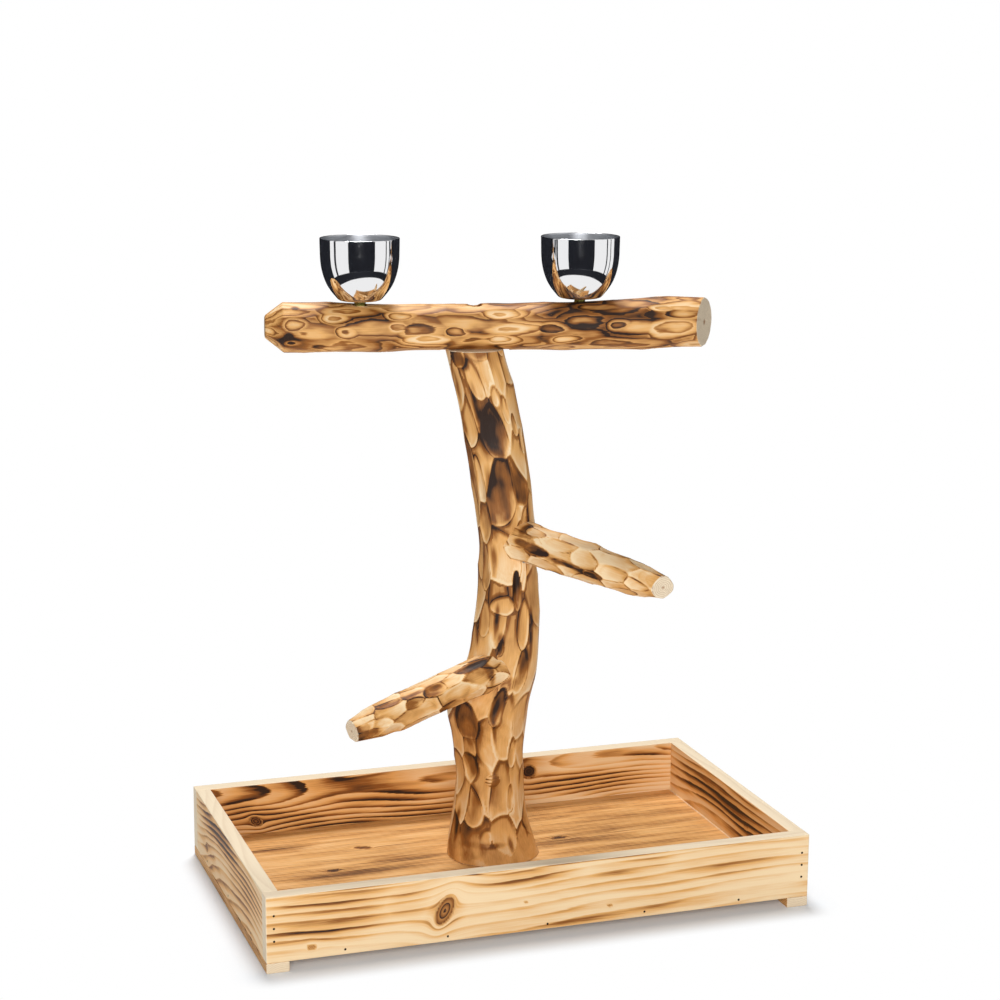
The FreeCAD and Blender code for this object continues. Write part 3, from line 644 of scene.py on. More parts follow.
def sink(points, foot, outward, radius):
    """Flat-bottomed round pocket in a surface.

    Points over the pocket's inner part go to its floor, spread out to its edge; points in the outer
    part go to its wall, in step from the floor up to the surface.
    """
    foot, outward = np.array(foot, float), np.array(outward, float)
    offset = points - foot
    height = offset @ outward
    flat = offset - height[:, None] * outward
    distance = np.linalg.norm(flat, axis=1)
    over = (distance < radius) & (height > 0.0)
    inner = POCKET_FLOOR * radius
    rise = np.clip((distance - inner) / (radius - inner), 0.0, 1.0)
    stretch = np.where(distance < inner, 1.0 / POCKET_FLOOR, radius / np.maximum(distance, 1e-9))
    moved = foot + flat * stretch[:, None] + (height * rise)[:, None] * outward
    return np.where(over[:, None], moved, points)


def box_grid(low, high, arris, step):
    """Eased box.

    Six grids share the lines of three scales. A point is its nearest place in the box shrunk by the
    arris radius, plus that radius towards the point.
    """
    scales = []
    for a, b in zip(low, high):
        inner = np.linspace(a + arris, b - arris, max(2, int(round((b - a - 2 * arris) / step)) + 1))
        scales.append(np.concatenate([[a, a + 0.45 * arris], inner, [b - 0.45 * arris, b]]))
    points, faces, count = [], [], 0
    for normal in range(3):
        first, second = (normal + 1) % 3, (normal + 2) % 3
        for high_side in (False, True):
            u, v = np.meshgrid(scales[first], scales[second], indexing="ij")
            grid = np.zeros(u.shape + (3,))
            grid[..., first], grid[..., second] = u, v
            grid[..., normal] = high[normal] if high_side else low[normal]
            rows, columns = u.shape
            index = count + np.arange(rows * columns).reshape(rows, columns)
            quads = np.stack([index[:-1, :-1], index[1:, :-1], index[1:, 1:], index[:-1, 1:]], -1)
            quads = quads.reshape(-1, 4)
            points.append(grid.reshape(-1, 3))
            faces.append(quads if high_side else quads[:, ::-1])
            count += rows * columns
    points, faces = np.concatenate(points), np.concatenate(faces)
    key = np.round(points / 1e-7).astype(np.int64)
    _, kept, back = np.unique(key, axis=0, return_index=True, return_inverse=True)
    points, faces = points[kept], back.ravel()[faces]
    core = np.clip(points, np.array(low) + arris, np.array(high) - arris)
    away = points - core
    length = np.linalg.norm(away, axis=1, keepdims=True)
    return core + away / np.maximum(length, 1e-9) * np.minimum(length, arris), faces.tolist()


def board_values(points, low, high, board):
    """Growth rings, knots, scorch and bare faces of a board.

    The ring value is the distance to the tree's heart, a line that wanders along the board, over the
    ring spacing. Rings pass a knot as a stream passes a post: the distance across is multiplied by
    one less the inverse square of the distance from the knot's middle in knot radii.
    """
    draw = np.random.default_rng(board["seed"])
    along, across = board["along"], board["across"]
    through_axis = 3 - along - across
    middle = (np.array(low) + np.array(high)) / 2.0
    place = (points - middle) / MM
    run, wide, deep = place[:, along], place[:, across], place[:, through_axis]
    sway = np.zeros((2, len(points)))
    for order, period in enumerate(HEART_PERIODS):
        shift = draw.uniform(0.0, 2.0 * math.pi, 2)
        share = board["wander"] / (order + 1.0) ** 1.8
        sway += share * np.sin(2.0 * math.pi * run / period + shift[:, None])
    knot, burn, eye = np.zeros(len(points)), np.zeros(len(points)), np.zeros(len(points))
    for *where, half_across, half_along, tilt in board["knots"]:
        gap = points / MM - np.array(where)
        slant = gap[:, along] + tilt * gap[:, across]
        reach = np.maximum(np.hypot(gap[:, across] / half_across, slant / half_along), 1e-3)
        nearness = np.exp(-(gap[:, through_axis] / KNOT_DEPTH) ** 2)
        wide = wide - gap[:, across] * nearness * np.minimum(1.0, reach ** -2.0) * smooth((7.0 - reach) / 4.0)
        eye = np.where(reach < 1.0, nearness * reach * KNOT_RINGS, eye)
        knot = np.maximum(knot, nearness * smooth((1.12 - reach) / 0.3))
    heart = board["heart"]
    slope = board.get("slope", 0.0)
    distance = np.hypot(wide - heart[0] - 0.5 * sway[0] - slope * run, deep - heart[1] - sway[1])
    ring = distance / board["spacing"] + eye
    for spot in board["scorch"]:
        gap = (points / MM - np.array(spot[:3])) / np.array(spot[3:6])
        burn = np.maximum(burn, spot[6] * smooth(1.25 - np.linalg.norm(gap, axis=1)))
    to_end = np.minimum(points[:, along] - low[along], high[along] - points[:, along])
    bare = 0.9 * smooth(1.6 - to_end / (0.5 * MM))
    if across == 2:
        bare = np.maximum(bare, smooth(1.7 - (high[2] - points[:, 2]) / (0.4 * MM)))
    grain = np.stack([wide, deep, run], -1) * MM + board["seed"] * 0.37
    whole = {"seam": NO_SEAM, "tone": 0.5, "sided": 0.0, "ridge": 0.0}
    return {"grain": grain, "ring": ring, "scorch": burn, "knot": knot, "bare": bare,
            **{key: np.full(len(points), value) for key, value in whole.items()}}


def turned(outline, place, sides):
    """Surface of revolution: a closed outline of (radius, height) carried round a vertical axis."""
    outline = np.array(outline)
    angle = np.arange(sides) * 2.0 * math.pi / sides
    points = np.stack([outline[:, None, 0] * np.cos(angle), outline[:, None, 0] * np.sin(angle),
                       np.broadcast_to(outline[:, None, 1], (len(outline), sides))], -1)
    rows = np.concatenate([points, points[:1]])
    faces = np.array(ring_faces(len(rows), sides)) % (len(outline) * sides)
    return points.reshape(-1, 3) + np.array(place), faces.tolist()


# Materials

def add(tree, kind, inputs=None, stops=None, **settings):
    """A node with its settings, its inputs as constants or links, and the stops of its ramp."""
    node = tree.nodes.new("ShaderNode" + kind)
    for name, value in settings.items():
        setattr(node, name, value)
    for key, value in (inputs or {}).items():
        if isinstance(value, bpy.types.NodeSocket):
            tree.links.new(value, node.inputs[key])
        else:
            node.inputs[key].default_value = value
    if stops:
        ramp = node.color_ramp
        while len(ramp.elements) < len(stops):
            ramp.elements.new(1.0)
        for element, (place, colour) in zip(ramp.elements, stops):
            element.position = place
            element.color = [*colour, 1.0]
    return node


def blank(name):
    """A new material with only its output node."""
    material = bpy.data.materials.new(name)
    material.use_nodes = True
    material.node_tree.nodes.clear()
    output = add(material.node_tree, "OutputMaterial")
    return material, material.node_tree, output


def rays_seen(tree):
    """1 for what the camera, a mirror or glass sees, else 0."""
    rays = add(tree, "LightPath").outputs
    seen = rays["Is Camera Ray"]
    for kind in ("Is Glossy Ray", "Is Transmission Ray"):
        seen = add(tree, "Math", {0: seen, 1: rays[kind]}, operation="MAXIMUM").outputs[0]
    return seen


# Greys over one growth ring, from early wood to the crisp edge of the late wood
RING_GREYS = ((0.0, 0.0), (0.35, 0.12), (0.62, 0.45), (0.84, 1.0), (0.92, 0.9), (1.0, 0.0))
# Parts of a wood made from its attributes and noises: source, its low and high, what these become and
# how it runs between; then pairs. The shaded pair is painted shade on one side of a cut, and the lip is
# a painted highlight on the side that this shade leaves bright
PART_RANGES = {
    "shade": ("seam", 0.0, 0.0055, 1.0, 0.0, "SMOOTHSTEP"),
    "flame": ("drift", 0.4, 0.64, 0.0, 1.15, "LINEAR"),
    "streak": ("drift", 0.34, 0.66, 0.6, 1.35, "LINEAR"),
    "pith": ("knot", 0.33, 0.4, 0.0, 0.9, "LINEAR"),
    "rough": ("fibre", 0.2, 0.8, 0.46, 0.66, "LINEAR"),
}
PART_PAIRS = {
    "shaded": ("shade", "sided", "MULTIPLY"), "lined": ("line", "flame", "MULTIPLY"),
    "painted_lip_highlight": ("shade", "shaded", "SUBTRACT"), "charred": ("streak", "scorch", "MULTIPLY"),
    "banded": ("band", "charred", "MULTIPLY"), "flamed": ("band", "flame", "MULTIPLY"),
}
SAWN_FIBRE = 0.12
FIBRE_RELIEF = 0.0006
WOOD_IOR = 1.45
# Woods: base heat; how far patches bend the rings and fibres fray them; width of the dark line at a
# ridge (m); width and length of the flame's patches (m); bands on end grain; bump; weights of the parts
# The shaded and one-side weights are painted shade on one side of each cut
WOOD_LOOKS = {
    # Planed boards gone over with a torch: crisp brown bands on a honey ground, satin
    "torched_pine_board": {
        "base": -0.14, "figure": 0.8, "fray": 0.35, "patch": (0.02, 0.16), "end_band": 0.12, "bump": 0.25,
        "layers": {"fibre": 0.14, "drift": 0.16, "band": 0.06, "banded": 0.5, "flamed": 0.26,
                   "charred": 0.16, "knot": 0.4}},
    # Wire-brushed panel: fine brown and pale streaks along the grain, dry
    "brushed_pine_panel": {
        "base": -0.13, "figure": 0.9, "fray": 0.6, "patch": (0.012, 0.14), "end_band": 0.2, "bump": 0.2,
        "layers": {"fibre": 0.46, "drift": 0.24, "band": 0.14, "banded": 0.7, "flamed": 0.3,
                   "charred": 0.16, "knot": 0.5}},
    # Knife-cut log, scorched in places: pale scoops between brown ridges, black in the burns
    "whittled_trunk_pine": {
        "base": -0.18, "figure": 1.0, "fray": 0.5, "line": 0.0011, "patch": (0.02, 0.045), "end_band": 0.4,
        "bump": 0.35,
        "layers": {"fibre": 0.2, "drift": 0.3, "tone": 0.08, "band": 0.03, "charred": 0.62, "lined": 0.6,
                   "shaded": 0.42, "painted_lip_highlight": -0.252, "sided": 0.18}},
    # Knife-cut and torched perch: closed and folded rings where the cuts go through the growth layers
    "whittled_perch_pine": {
        "base": -0.23, "figure": 2.6, "fray": 0.35, "patch": (0.02, 0.055), "end_band": 0.4, "bump": 0.25,
        "layers": {"fibre": 0.18, "drift": 0.28, "tone": 0.04, "band": 0.3, "banded": 0.34, "flamed": 0.12,
                   "charred": 0.34, "sided": 0.06, "ridge": 0.34, "knot": 0.6}},
    # Fresher knife-cut branches: pale, with a few black streaks and thin dark ridges
    "whittled_branch_pine": {
        "base": -0.27, "figure": 1.0, "fray": 0.5, "line": 0.0012, "patch": (0.016, 0.03), "end_band": 0.45,
        "bump": 0.35,
        "layers": {"fibre": 0.2, "drift": 0.28, "tone": 0.1, "band": 0.05, "banded": 0.1, "charred": 0.66,
                   "lined": 0.75, "shaded": 0.26, "painted_lip_highlight": -0.156, "sided": 0.12}},
}
# Metals: the setting that holds the colour, roughness, and how much handling marks add to it
METALS = {
    # Buffed steel: a mirror that shows its surroundings in bright and dark strips
    "polished_stainless": ("steel", 0.035, 0.02),
    # Brushed steel: even grey with a soft sheen
    "satin_stainless": ("satin", 0.3, 0.1),
    # Zinc plating: pale grey, half bright
    "bright_zinc_screw": ("zinc", 0.28, 0.2),
    # Yellow passivated zinc: greenish straw, half bright
    "yellow_zinc_nut": ("yellow_zinc", 0.24, 0.16),
    # Brass from the lathe: warm yellow, fairly bright
    "turned_brass": ("brass", 0.22, 0.15),
    # Brad heads near black, dull: painted shade of the nail holes they sit in
    "flame_blued_brad": ("brad", 0.4, 0.25),
}


def torched_pine(name, wood, look):
    """Pine worked with saw or knife, then browned with a flame.

    The flame darkens late wood first, which gives crisp brown bands on pale wood; knife ridges catch
    it as thin dark lines. Painted shade darkens one side of each cut next to its ridge, and a painted
    highlight lightens the other side. The surface is dry and satin. The heat is the base plus each part
    times its weight, and a ramp turns it from raw pine over brown to black.
    """
    material, tree, output = blank(name)
    grain = add(tree, "Attribute", attribute_name="grain").outputs["Vector"]
    parts = {key: add(tree, "Attribute", attribute_name=key).outputs["Fac"]
             for key in ("ring", "scorch", "seam", "tone", "knot", "sided", "ridge", "bare")}
    noises = {"fibre": (wood.fibre_width, wood.fibre_length, 3.0, 0.6), "drift": (*look["patch"], 2.5, 0.55)}
    for key, (wide, long, detail, roughness) in noises.items():
        place = add(tree, "VectorMath", {0: grain, 1: (1.0 / wide, 1.0 / wide, 1.0 / long)},
                    operation="MULTIPLY").outputs[0]
        parts[key] = add(tree, "TexNoise", {"Vector": place, "Scale": 1.0, "Detail": detail,
                                            "Roughness": roughness}).outputs["Fac"]
    rings = parts["ring"]
    for key, weight in (("drift", look["figure"]), ("fibre", look["fray"])):
        rings = add(tree, "Math", {0: parts[key], 1: weight, 2: rings}, operation="MULTIPLY_ADD").outputs[0]
    turn = add(tree, "Math", {0: rings}, operation="FRACT").outputs[0]
    greys = [(place, (grey,) * 3) for place, grey in RING_GREYS]
    parts["band"] = add(tree, "ValToRGB", {0: turn}, stops=greys).outputs["Color"]
    ranges = {**PART_RANGES, "line": ("seam", 0.0, look.get("line", 0.001), 1.0, 0.0, "SMOOTHSTEP")}
    for key, (source, low, high, at_low, at_high, kind) in ranges.items():
        inputs = {"Value": parts[source], "From Min": low, "From Max": high, "To Min": at_low,
                  "To Max": at_high}
        parts[key] = add(tree, "MapRange", inputs, interpolation_type=kind).outputs["Result"]
    for key, (one, other, operation) in PART_PAIRS.items():
        parts[key] = add(tree, "Math", {0: parts[one], 1: parts[other]}, operation=operation).outputs[0]
    heat, sawn_heat = look["base"], parts["pith"]
    for key, weight in look["layers"].items():
        heat = add(tree, "Math", {0: parts[key], 1: weight, 2: heat}, operation="MULTIPLY_ADD").outputs[0]
    colour = add(tree, "ValToRGB", {0: heat}, stops=(
        (0.0, wood.raw), (0.28, wood.toasted), (0.6, wood.browned), (1.0, wood.burnt))).outputs["Color"]
    for key, weight in (("band", look["end_band"]), ("fibre", SAWN_FIBRE)):
        sawn_heat = add(tree, "Math", {0: parts[key], 1: weight, 2: sawn_heat},
                        operation="MULTIPLY_ADD").outputs[0]
    sawn = add(tree, "ValToRGB", {0: sawn_heat}, stops=(
        (0.0, wood.sawn), (1.0, wood.browned))).outputs["Color"]
    final = add(tree, "Mix", {"Factor": parts["bare"], 6: colour, 7: sawn}, data_type="RGBA")
    height = add(tree, "Math", {0: parts["band"], 1: 0.5, 2: parts["fibre"]}, operation="MULTIPLY_ADD")
    bump = add(tree, "Bump", {"Strength": look["bump"], "Distance": FIBRE_RELIEF,
                              "Height": height.outputs[0]})
    shader = add(tree, "BsdfPrincipled", {
        "Base Color": final.outputs[2], "Roughness": parts["rough"], "IOR": WOOD_IOR,
        "Specular IOR Level": 0.35, "Normal": bump.outputs[0]})
    tree.links.new(shader.outputs[0], output.inputs["Surface"])
    return material


def wood_material(name):
    """The named wood, made once."""
    found = bpy.data.materials.get(name)
    return found or torched_pine(name, bpy.context.scene.play_stand_wood, WOOD_LOOKS[name])


def metal_material(name):
    """The named metal, made once, with faint handling marks that vary its gloss."""
    found = bpy.data.materials.get(name)
    if found:
        return found
    setting, roughness, wear = METALS[name]
    colour = getattr(bpy.context.scene.play_stand_metal, setting)
    material, tree, output = blank(name)
    place = add(tree, "TexCoord").outputs["Object"]
    marks = add(tree, "TexNoise", {"Vector": place, "Scale": 420.0, "Detail": 2.0}).outputs["Fac"]
    rough = add(tree, "MapRange", {"Value": marks, "From Min": 0.3, "From Max": 0.7, "To Min": roughness,
                                   "To Max": roughness + wear}).outputs["Result"]
    shader = add(tree, "BsdfPrincipled", {"Base Color": [*colour, 1.0], "Metallic": 1.0, "Roughness": rough})
    tree.links.new(shader.outputs[0], output.inputs["Surface"])
    return material


def finish_node(node, material):
    """Gives a CAD node its material."""
    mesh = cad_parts[node].data
    if not mesh.materials:
        mesh.materials.append(material)
    for index in range(len(mesh.materials)):
        mesh.materials[index] = material


# Operators

class PLAYSTAND_OT_stage(bpy.types.Operator):
    """Paper floor, white surroundings, two soft lamps, dark screens for the cups and the camera"""
    bl_idname = "play_stand.stage"
    bl_label = "Stage"

    def execute(self, context):
        stage = context.scene.play_stand_stage
        self.floor(stage)
        self.sky(context.scene, stage)
        self.screens()
        for name, (place, size, setting) in LAMPS.items():
            self.lamp(name, place, size, getattr(stage, setting))
        self.camera(context.scene)
        return {"FINISHED"}

    def floor(self, stage):
        """Disc of rings; it fades from lit paper to plain white for the camera and for mirrors."""
        radii = np.array([*FLOOR_RADII, stage.floor_radius])[:, None]
        angle = np.arange(FLOOR_SIDES) * 2.0 * math.pi / FLOOR_SIDES
        points = np.stack([radii * np.cos(angle), radii * np.sin(angle), np.zeros((len(radii), FLOOR_SIDES))],
                          -1).reshape(-1, 3)
        faces = [face[::-1] for face in ring_faces(len(radii), FLOOR_SIDES)] + [list(range(FLOOR_SIDES))]
        material, tree, output = blank("paper_floor")
        half = [max(-low, high) for low, high in zip(*CAD_BOX)][:2]
        none = (0.0, 0.0, 0.0)
        away = add(tree, "TexCoord").outputs["Object"]
        for operation, other in (("ABSOLUTE", none), ("SUBTRACT", (*half, 1.0)), ("MAXIMUM", none)):
            away = add(tree, "VectorMath", {0: away, 1: other}, operation=operation).outputs[0]
        far = add(tree, "VectorMath", {0: away}, operation="LENGTH").outputs["Value"]
        fade = add(tree, "MapRange", {"Value": far, "From Min": 0.0, "From Max": stage.shadow_reach},
                   interpolation_type="SMOOTHSTEP").outputs["Result"]
        lift = add(tree, "MapRange", {"Value": fade, "To Min": stage.paper_glow, "To Max": 1.0})
        share = add(tree, "Math", {0: lift.outputs["Result"], 1: rays_seen(tree)}, operation="MULTIPLY")
        paper = add(tree, "BsdfDiffuse", {"Color": [*stage.floor, 1.0]})
        white = add(tree, "Emission", {"Color": WHITE, "Strength": 1.0})
        mixed = add(tree, "MixShader", {0: share.outputs[0], 1: paper.outputs[0], 2: white.outputs[0]})
        tree.links.new(mixed.outputs[0], output.inputs["Surface"])
        piece("paper_floor", points, faces, None, material)

    def sky(self, scene, stage):
        """Even light; white where the camera, a mirror or glass sees it."""
        world = bpy.data.worlds.new("studio")
        world.use_nodes = True
        tree = world.node_tree
        tree.nodes.clear()
        even = add(tree, "Background", {"Color": WHITE, "Strength": stage.sky})
        white = add(tree, "Background", {"Color": WHITE, "Strength": 1.0})
        mixed = add(tree, "MixShader", {0: rays_seen(tree), 1: even.outputs[0], 2: white.outputs[0]})
        output = add(tree, "OutputWorld")
        tree.links.new(mixed.outputs[0], output.inputs["Surface"])
        scene.world = world

    def screens(self):
        """Dark screens that only the mirrors see, so that polished steel shows dark and white strips.

        Each is part of a ring: a floor strip between two radii, or an upright strip on one radius,
        over a range of azimuths on either side of the camera's.
        """
        material, tree, output = blank("black_cloth")
        cloth = add(tree, "BsdfDiffuse", {"Color": BLACK_CLOTH})
        tree.links.new(cloth.outputs[0], output.inputs["Surface"])
        facing = math.degrees(math.atan2(CAMERA_PLACE[1], CAMERA_PLACE[0]))
        upright = ((SCREEN_RADIUS, SCREEN_FOOT), (SCREEN_RADIUS, SCREEN_TOP))
        level = ((SCREEN_INNER_RADIUS, SCREEN_FOOT), (SCREEN_RADIUS, SCREEN_FOOT))
        strips = [(level, -180.0, 180.0)] + [(upright, low, high) for low, high in SCREEN_AZIMUTHS]
        for number, (outline, low, high) in enumerate(strips):
            angle = np.radians(facing + np.linspace(low, high, SCREEN_COLUMNS))[:, None]
            radius, height = np.array(outline).T
            points = np.stack([np.cos(angle) * radius, np.sin(angle) * radius,
                               np.broadcast_to(height, (SCREEN_COLUMNS, 2))], -1).reshape(-1, 3)
            index = np.arange(2 * SCREEN_COLUMNS).reshape(-1, 2)
            faces = np.stack([index[:-1, 0], index[1:, 0], index[1:, 1], index[:-1, 1]], -1)
            screen = piece(f"dark_screen_{number}", points, faces.tolist(), None, material)
            for ray in ("camera", "diffuse", "shadow", "transmission", "volume_scatter"):
                setattr(screen, "visible_" + ray, False)

    def lamp(self, name, place, size, power):
        """Round soft lamp that faces the stand."""
        data = bpy.data.lights.new(name, "AREA")
        data.shape = "DISK"
        data.size = size
        data.energy = power
        obj = bpy.data.objects.new(name, data)
        bpy.context.scene.collection.objects.link(obj)
        aim = np.array(LAMP_AIM) - np.array(place)
        obj.location = place
        obj.rotation_mode = "QUATERNION"
        obj.rotation_quaternion = Vector(aim).to_track_quat("-Z", "Y")

    def camera(self, scene):
        """Camera of the product picture: looks along its heading, tipped by its pitch and rolled."""
        turn, roll = math.radians(CAMERA_HEADING), math.radians(CAMERA_ROLL)
        ahead = heading(90.0 - CAMERA_HEADING, CAMERA_PITCH)
        right = np.array([math.cos(turn), -math.sin(turn), 0.0])
        above = np.cross(right, ahead)
        across = math.cos(roll) * right + math.sin(roll) * above
        upward = math.cos(roll) * above - math.sin(roll) * right
        data = bpy.data.cameras.new("camera")
        data.lens = CAMERA_LENS
        data.sensor_width = CAMERA_SENSOR
        data.clip_end = CAMERA_REACH
        obj = bpy.data.objects.new("camera", data)
        scene.collection.objects.link(obj)
        rows = np.eye(4)
        rows[:3, 0], rows[:3, 1], rows[:3, 2], rows[:3, 3] = across, upward, -ahead, CAMERA_PLACE
        obj.matrix_world = Matrix(rows.tolist())
        scene.camera = obj


class PLAYSTAND_OT_tray(bpy.types.Operator):
    """Four torched boards, the floor panel and two runners"""
    bl_idname = "play_stand.tray"
    bl_label = "Tray"

    def execute(self, context):
        wood = context.scene.play_stand_wood
        for name, board in BOARDS.items():
            low, high = (np.array(corner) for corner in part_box(name))
            slot = name.split("_")[1]
            fine = slot == "board"
            arris = PANEL_ARRIS * MM if slot == "panel" else wood.board_arris
            points, faces = box_grid(low, high, arris, wood.board_step * (1.0 if fine else COARSE_STEP))
            look = "torched_pine_board" if fine else "brushed_pine_panel"
            values = board_values(points, low, high, board)
            points = points + np.array(BOARD_INWARDS.get(name, (0.0, 0.0, 0.0))) * BOARD_SETBACK * MM
            piece("wood_" + name, points, faces, "root", wood_material(look), (name,), values)
        return {"FINISHED"}


def trunk_centre(height):
    """Middle of the trunk (m) at a height above the tray's panel, on straight lines between rows."""
    rows = np.array(TRUNK_ROWS)
    lean = np.interp(height, rows[:, 0], rows[:, 1])
    return (np.array(TRUNK_FOOT) + np.array([0, 0, height]) + heading(TRUNK_LEAN_AZIMUTH) * lean) * MM


class PLAYSTAND_OT_trunk(bpy.types.Operator):
    """Whittled trunk between the tray and the perch"""
    bl_idname = "play_stand.trunk"
    bl_label = "Trunk"

    def execute(self, context):
        wood = context.scene.play_stand_wood
        side = heading(TRUNK_LEAN_AZIMUTH)
        upright = np.array([0.0, 0.0, 1.0])
        end = TRUNK_ROWS[-1][0] * MM
        log = {"origin": np.array(TRUNK_FOOT) * MM, "axis": upright, "side": side,
               "up": np.cross(upright, side), "rows": TRUNK_ROWS, "start": 0.0, "end": end,
               "end_normal": upright, "ring_spacing": 2.4 * MM, "seed": 21, "skirt": 32.0 * MM,
               "scorch": metres(TRUNK_SCORCH_AND_SHADE, 2), "bumps": metres(TRUNK_BUMPS, 4)}
        cuts = all_cuts(TRUNK_CUTS, log, wood, radius=35.0 * MM, scorched=0.1, size=1.25)
        log_piece("whittled_trunk", "root", wood_material("whittled_trunk_pine"), wood, log, cuts,
                  replaced=("trunk",))
        return {"FINISHED"}


class PLAYSTAND_OT_perch(bpy.types.Operator):
    """Whittled perch that turns on the trunk's screw"""
    bl_idname = "play_stand.perch"
    bl_label = "Perch"

    def execute(self, context):
        wood = context.scene.play_stand_wood
        axis = heading(PERCH_AZIMUTH)
        upright = np.array([0.0, 0.0, 1.0])
        top = trunk_centre(TRUNK_ROWS[-1][0])
        origin = np.array([top[0], top[1], PERCH_AXIS_HEIGHT * MM])
        start, end = PERCH_ROWS[0][0] * MM, PERCH_SAWN_END * MM
        log = {"origin": origin, "axis": axis, "side": np.cross(upright, axis), "up": upright,
               "rows": PERCH_ROWS, "start": start, "end": end,
               "end_normal": heading(PERCH_AZIMUTH - PERCH_SAW_TURN), "ring_spacing": 1.35 * MM, "seed": 33,
               "cone": (PERCH_TIP_RADIUS * MM, PERCH_TIP_SLOPE), "knots": metres(PERCH_KNOTS, 1),
               "bare_start": False, "gather": 0.9, "spared": 0.6, "scorch": metres(PERCH_SCORCH, 2)}
        cuts = all_cuts(PERCH_CUTS, log, wood, radius=24.0 * MM, scorched=0.3, stretch=1.5)
        sinks = [([origin[0], origin[1], COUNTERBORE_HEIGHT * MM], upright, COUNTERBORE_RADIUS * MM)]
        for place in CUP_PLACES.values():
            foot = origin + axis * place * MM
            sinks.append(([foot[0], foot[1], SPOT_FACE_HEIGHT * MM], upright, SPOT_FACE_RADIUS * MM))

        def flattened(points):
            """Cuts the underside flat where it lies on the trunk."""
            along = (points - origin) @ axis
            near = np.abs(along) < PERCH_FLAT_REACH * MM
            points[near, 2] = np.maximum(points[near, 2], PERCH_FLAT_HEIGHT * MM)
            return points

        log_piece("whittled_perch", "perch", wood_material("whittled_perch_pine"), wood, log, cuts, sinks,
                  flattened, replaced=("perch",))
        return {"FINISHED"}


class PLAYSTAND_OT_branches(bpy.types.Operator):
    """Two whittled branches seated in the trunk"""
    bl_idname = "play_stand.branches"
    bl_label = "Branches"

    def execute(self, context):
        wood = context.scene.play_stand_wood
        tables = {"right": RIGHT_BRANCH_CUTS, "left": LEFT_BRANCH_CUTS}
        scorches = {"right": RIGHT_BRANCH_SCORCH, "left": LEFT_BRANCH_SCORCH}
        for number, (name, branch) in enumerate(BRANCHES.items()):
            seat_normal = heading(branch["seat_azimuth"])
            seat = trunk_centre(branch["seat_height"]) + seat_normal * branch["seat_distance"] * MM
            axis = heading(branch["azimuth"], branch["slope"])
            side = heading(branch["azimuth"] + 90.0)
            up = np.cross(axis, side)
            rows = ((-ROOT_DEPTH, 0.0, 0.0, branch["rows"][0][3]),) + branch["rows"]
            start, end = -ROOT_DEPTH * MM, branch["rows"][-1][0] * MM
            log = {"origin": seat, "axis": axis, "side": side, "up": up, "rows": rows, "start": start,
                   "end": end, "end_normal": heading(branch["azimuth"] + branch["tip_turn"], branch["slope"]),
                   "ring_spacing": 2.0 * MM, "seed": 41 + number, "scorch": metres(scorches[name], 2)}
            cuts = all_cuts(tables[name], log, wood, radius=18.0 * MM, scorched=0.1, size=0.8)
            radius = np.interp(TOE_SCREW_FROM_SEAT, [row[0] for row in rows], [row[3] for row in rows])
            drop = math.sqrt(radius ** 2 - TOE_SCREW_ASIDE ** 2) - TOE_SCREW_HEAD_HEIGHT
            head = seat + (axis * TOE_SCREW_FROM_SEAT - side * TOE_SCREW_ASIDE - up * drop) * MM
            rise = math.radians(TOE_SCREW_RISE)
            line = up * math.sin(rise) - seat_normal * math.cos(rise)
            sinks = [(head + line * TOE_SCREW_POCKET_PLAY * MM, -line, TOE_SCREW_POCKET_RADIUS * MM)]
            log_piece(f"whittled_{name}_branch", "root", wood_material("whittled_branch_pine"), wood, log,
                      cuts, sinks, replaced=(name + "_branch",))
        return {"FINISHED"}


class PLAYSTAND_OT_cups(bpy.types.Operator):
    """Two spun and polished steel cups"""
    bl_idname = "play_stand.cups"
    bl_label = "Cups"

    def execute(self, context):
        metal = context.scene.play_stand_metal
        polished = metal_material("polished_stainless")
        outside = np.array(CUP_OUTLINE)
        run = np.concatenate([[0.0], np.cumsum(np.hypot(*np.diff(outside, axis=0).T))])
        table = np.column_stack([run, outside])
        at = np.linspace(0.0, run[-1], CUP_STEPS)
        outer = np.column_stack([through(table, 1, at), through(table, 2, at)])
        step = np.gradient(outer, axis=0)
        inward = np.column_stack([-step[:, 1], step[:, 0]]) / np.linalg.norm(step, axis=1)[:, None]
        inner = (outer + inward * CUP_WALL)[::-1]
        inner[:, 1] = np.maximum(inner[:, 1], CUP_WALL)
        inner[-1, 0] = outer[0, 0]
        outline = np.concatenate([outer, CUP_RIM, inner]) * MM
        for name in CUP_PLACES:
            low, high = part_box(name + "_cup")
            place = ((low.x + high.x) / 2.0, (low.y + high.y) / 2.0, low.z)
            points, faces = turned(outline, place, metal.cup_sides)
            cup = piece(f"polished_{name}_cup", points, faces, name + "_cup_body", polished,
                        (name + "_cup",))
            cup.data.materials.append(metal_material("satin_stainless"))
            row = np.arange(len(faces)) // metal.cup_sides
            inside = row >= len(outer) + len(CUP_RIM) - 1
            cup.data.polygons.foreach_set("material_index", inside.astype(np.int32))
        return {"FINISHED"}


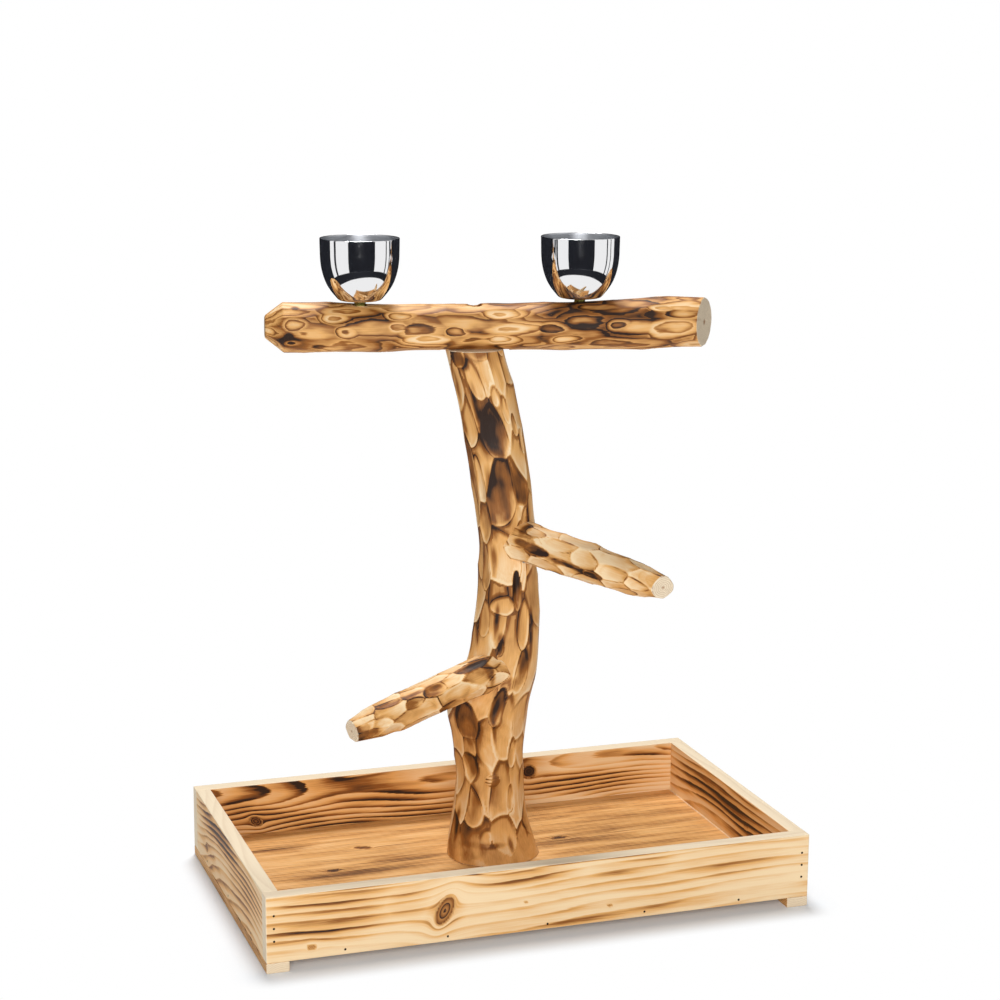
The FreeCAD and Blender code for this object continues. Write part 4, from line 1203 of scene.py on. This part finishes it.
class PLAYSTAND_OT_fasteners(bpy.types.Operator):
    """Brads, screws, washers, nuts, dowels and bushes"""
    bl_idname = "play_stand.fasteners"
    bl_label = "Fasteners"

    def execute(self, context):
        self.brads(metal_material("flame_blued_brad"))
        for node in ("runner_screws", "trunk_screws", "trunk_washers", "perch_screw", "perch_washer",
                     "left_branch_screw", "right_branch_screw"):
            finish_node(node, metal_material("bright_zinc_screw"))
        for side in CUP_PLACES:
            for part, metal in (("nut", "yellow_zinc_nut"), ("washer", "yellow_zinc_nut"),
                                ("insert", "turned_brass"), ("bolt", "polished_stainless")):
                finish_node(f"{side}_cup_{part}", metal_material(metal))
            finish_node(side + "_branch_dowel", wood_material("whittled_branch_pine"))
        return {"FINISHED"}

    def brads(self, material):
        """Brads with slightly domed heads, level with the boards: an outline carried round each axis."""
        low, high = (np.array(corner) / MM for corner in (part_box("front_board")[0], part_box("back_board")[1]))
        ends = (-1.0, 1.0)
        levels = low[2] + CORNER_BRAD_FIRST + CORNER_BRAD_PITCH * np.arange(CORNER_BRAD_COUNT)
        corner = [((x * (high[0] - CORNER_BRAD_INSET), y * high[1], level), (0.0, y, 0.0))
                  for x in ends for y in ends for level in levels]
        floor = [((x, y * high[1], PANEL_BRAD_HEIGHT), (0.0, y, 0.0)) for y in ends for x in LONG_SIDE_BRADS]
        floor += [((x * high[0], y, PANEL_BRAD_HEIGHT), (x, 0.0, 0.0))
                  for x in ends for y in SHORT_SIDE_BRADS]
        # Radius and height from the foot over the shank to the domed head
        outline = np.array([(0.001, -BRAD_LENGTH), (BRAD_RADIUS, -BRAD_LENGTH + 1.5), (BRAD_RADIUS, -1.0),
                            (BRAD_HEAD_RADIUS, -0.8), (BRAD_HEAD_RADIUS, 0.0), (0.6, BRAD_PROUD * 0.8),
                            (0.001, BRAD_PROUD)]) - np.array([0.0, BRAD_PROUD])
        angle = np.arange(BRAD_SIDES)[:, None] * 2.0 * math.pi / BRAD_SIDES
        for group, places in (("corner", corner), ("floor", floor)):
            points, faces = [], []
            for number, (head, outward) in enumerate(places):
                outward = np.array(outward)
                side = np.cross(outward, (0.0, 0.0, 1.0))
                up = np.cross(outward, side)
                spoke = np.cos(angle) * side + np.sin(angle) * up
                rings = np.array(head) + outline[:, None, 1:] * outward + outline[:, None, :1] * spoke
                count = number * len(outline) * BRAD_SIDES
                around = count + np.arange(BRAD_SIDES)
                faces += (np.array(ring_faces(len(outline), BRAD_SIDES)) + count).tolist()
                faces.append(around[::-1].tolist())
                faces.append((around + (len(outline) - 1) * BRAD_SIDES).tolist())
                points.append(rings.reshape(-1, 3) * MM)
            piece(group + "_brads", np.concatenate(points), faces, "root", material, (group + "_nails",))


class PLAYSTAND_PT_panel(bpy.types.Panel):
    """Steps of the play stand and their settings"""
    bl_label = "Play stand"
    bl_idname = "PLAYSTAND_PT_panel"
    bl_space_type = "VIEW_3D"
    bl_region_type = "UI"
    bl_category = "Play stand"

    def draw(self, context):
        scene = context.scene
        for settings in (scene.play_stand_wood, scene.play_stand_metal, scene.play_stand_stage):
            box = self.layout.box()
            for key in settings.__annotations__:
                box.prop(settings, key)
        for operator in OPERATORS:
            self.layout.operator(operator.bl_idname)


OPERATORS = (PLAYSTAND_OT_stage, PLAYSTAND_OT_tray, PLAYSTAND_OT_trunk, PLAYSTAND_OT_perch,
             PLAYSTAND_OT_branches, PLAYSTAND_OT_cups, PLAYSTAND_OT_fasteners)
SETTINGS = {"play_stand_wood": PlayStandWood, "play_stand_metal": PlayStandMetal,
            "play_stand_stage": PlayStandStage}


def register():
    for group in SETTINGS.values():
        bpy.utils.register_class(group)
    for name, group in SETTINGS.items():
        setattr(bpy.types.Scene, name, bpy.props.PointerProperty(type=group))
    for operator in OPERATORS:
        bpy.utils.register_class(operator)
    bpy.utils.register_class(PLAYSTAND_PT_panel)


def unregister():
    bpy.utils.unregister_class(PLAYSTAND_PT_panel)
    for operator in reversed(OPERATORS):
        bpy.utils.unregister_class(operator)
    for name, group in reversed(SETTINGS.items()):
        delattr(bpy.types.Scene, name)
        bpy.utils.unregister_class(group)


def main():
    """Builds every piece."""
    bpy.context.scene.view_settings.view_transform = "Standard"
    register()
    bpy.ops.play_stand.stage()
    bpy.ops.play_stand.tray()
    bpy.ops.play_stand.trunk()
    bpy.ops.play_stand.perch()
    bpy.ops.play_stand.branches()
    bpy.ops.play_stand.cups()
    bpy.ops.play_stand.fasteners()


if __name__ == "__main__":
    main()
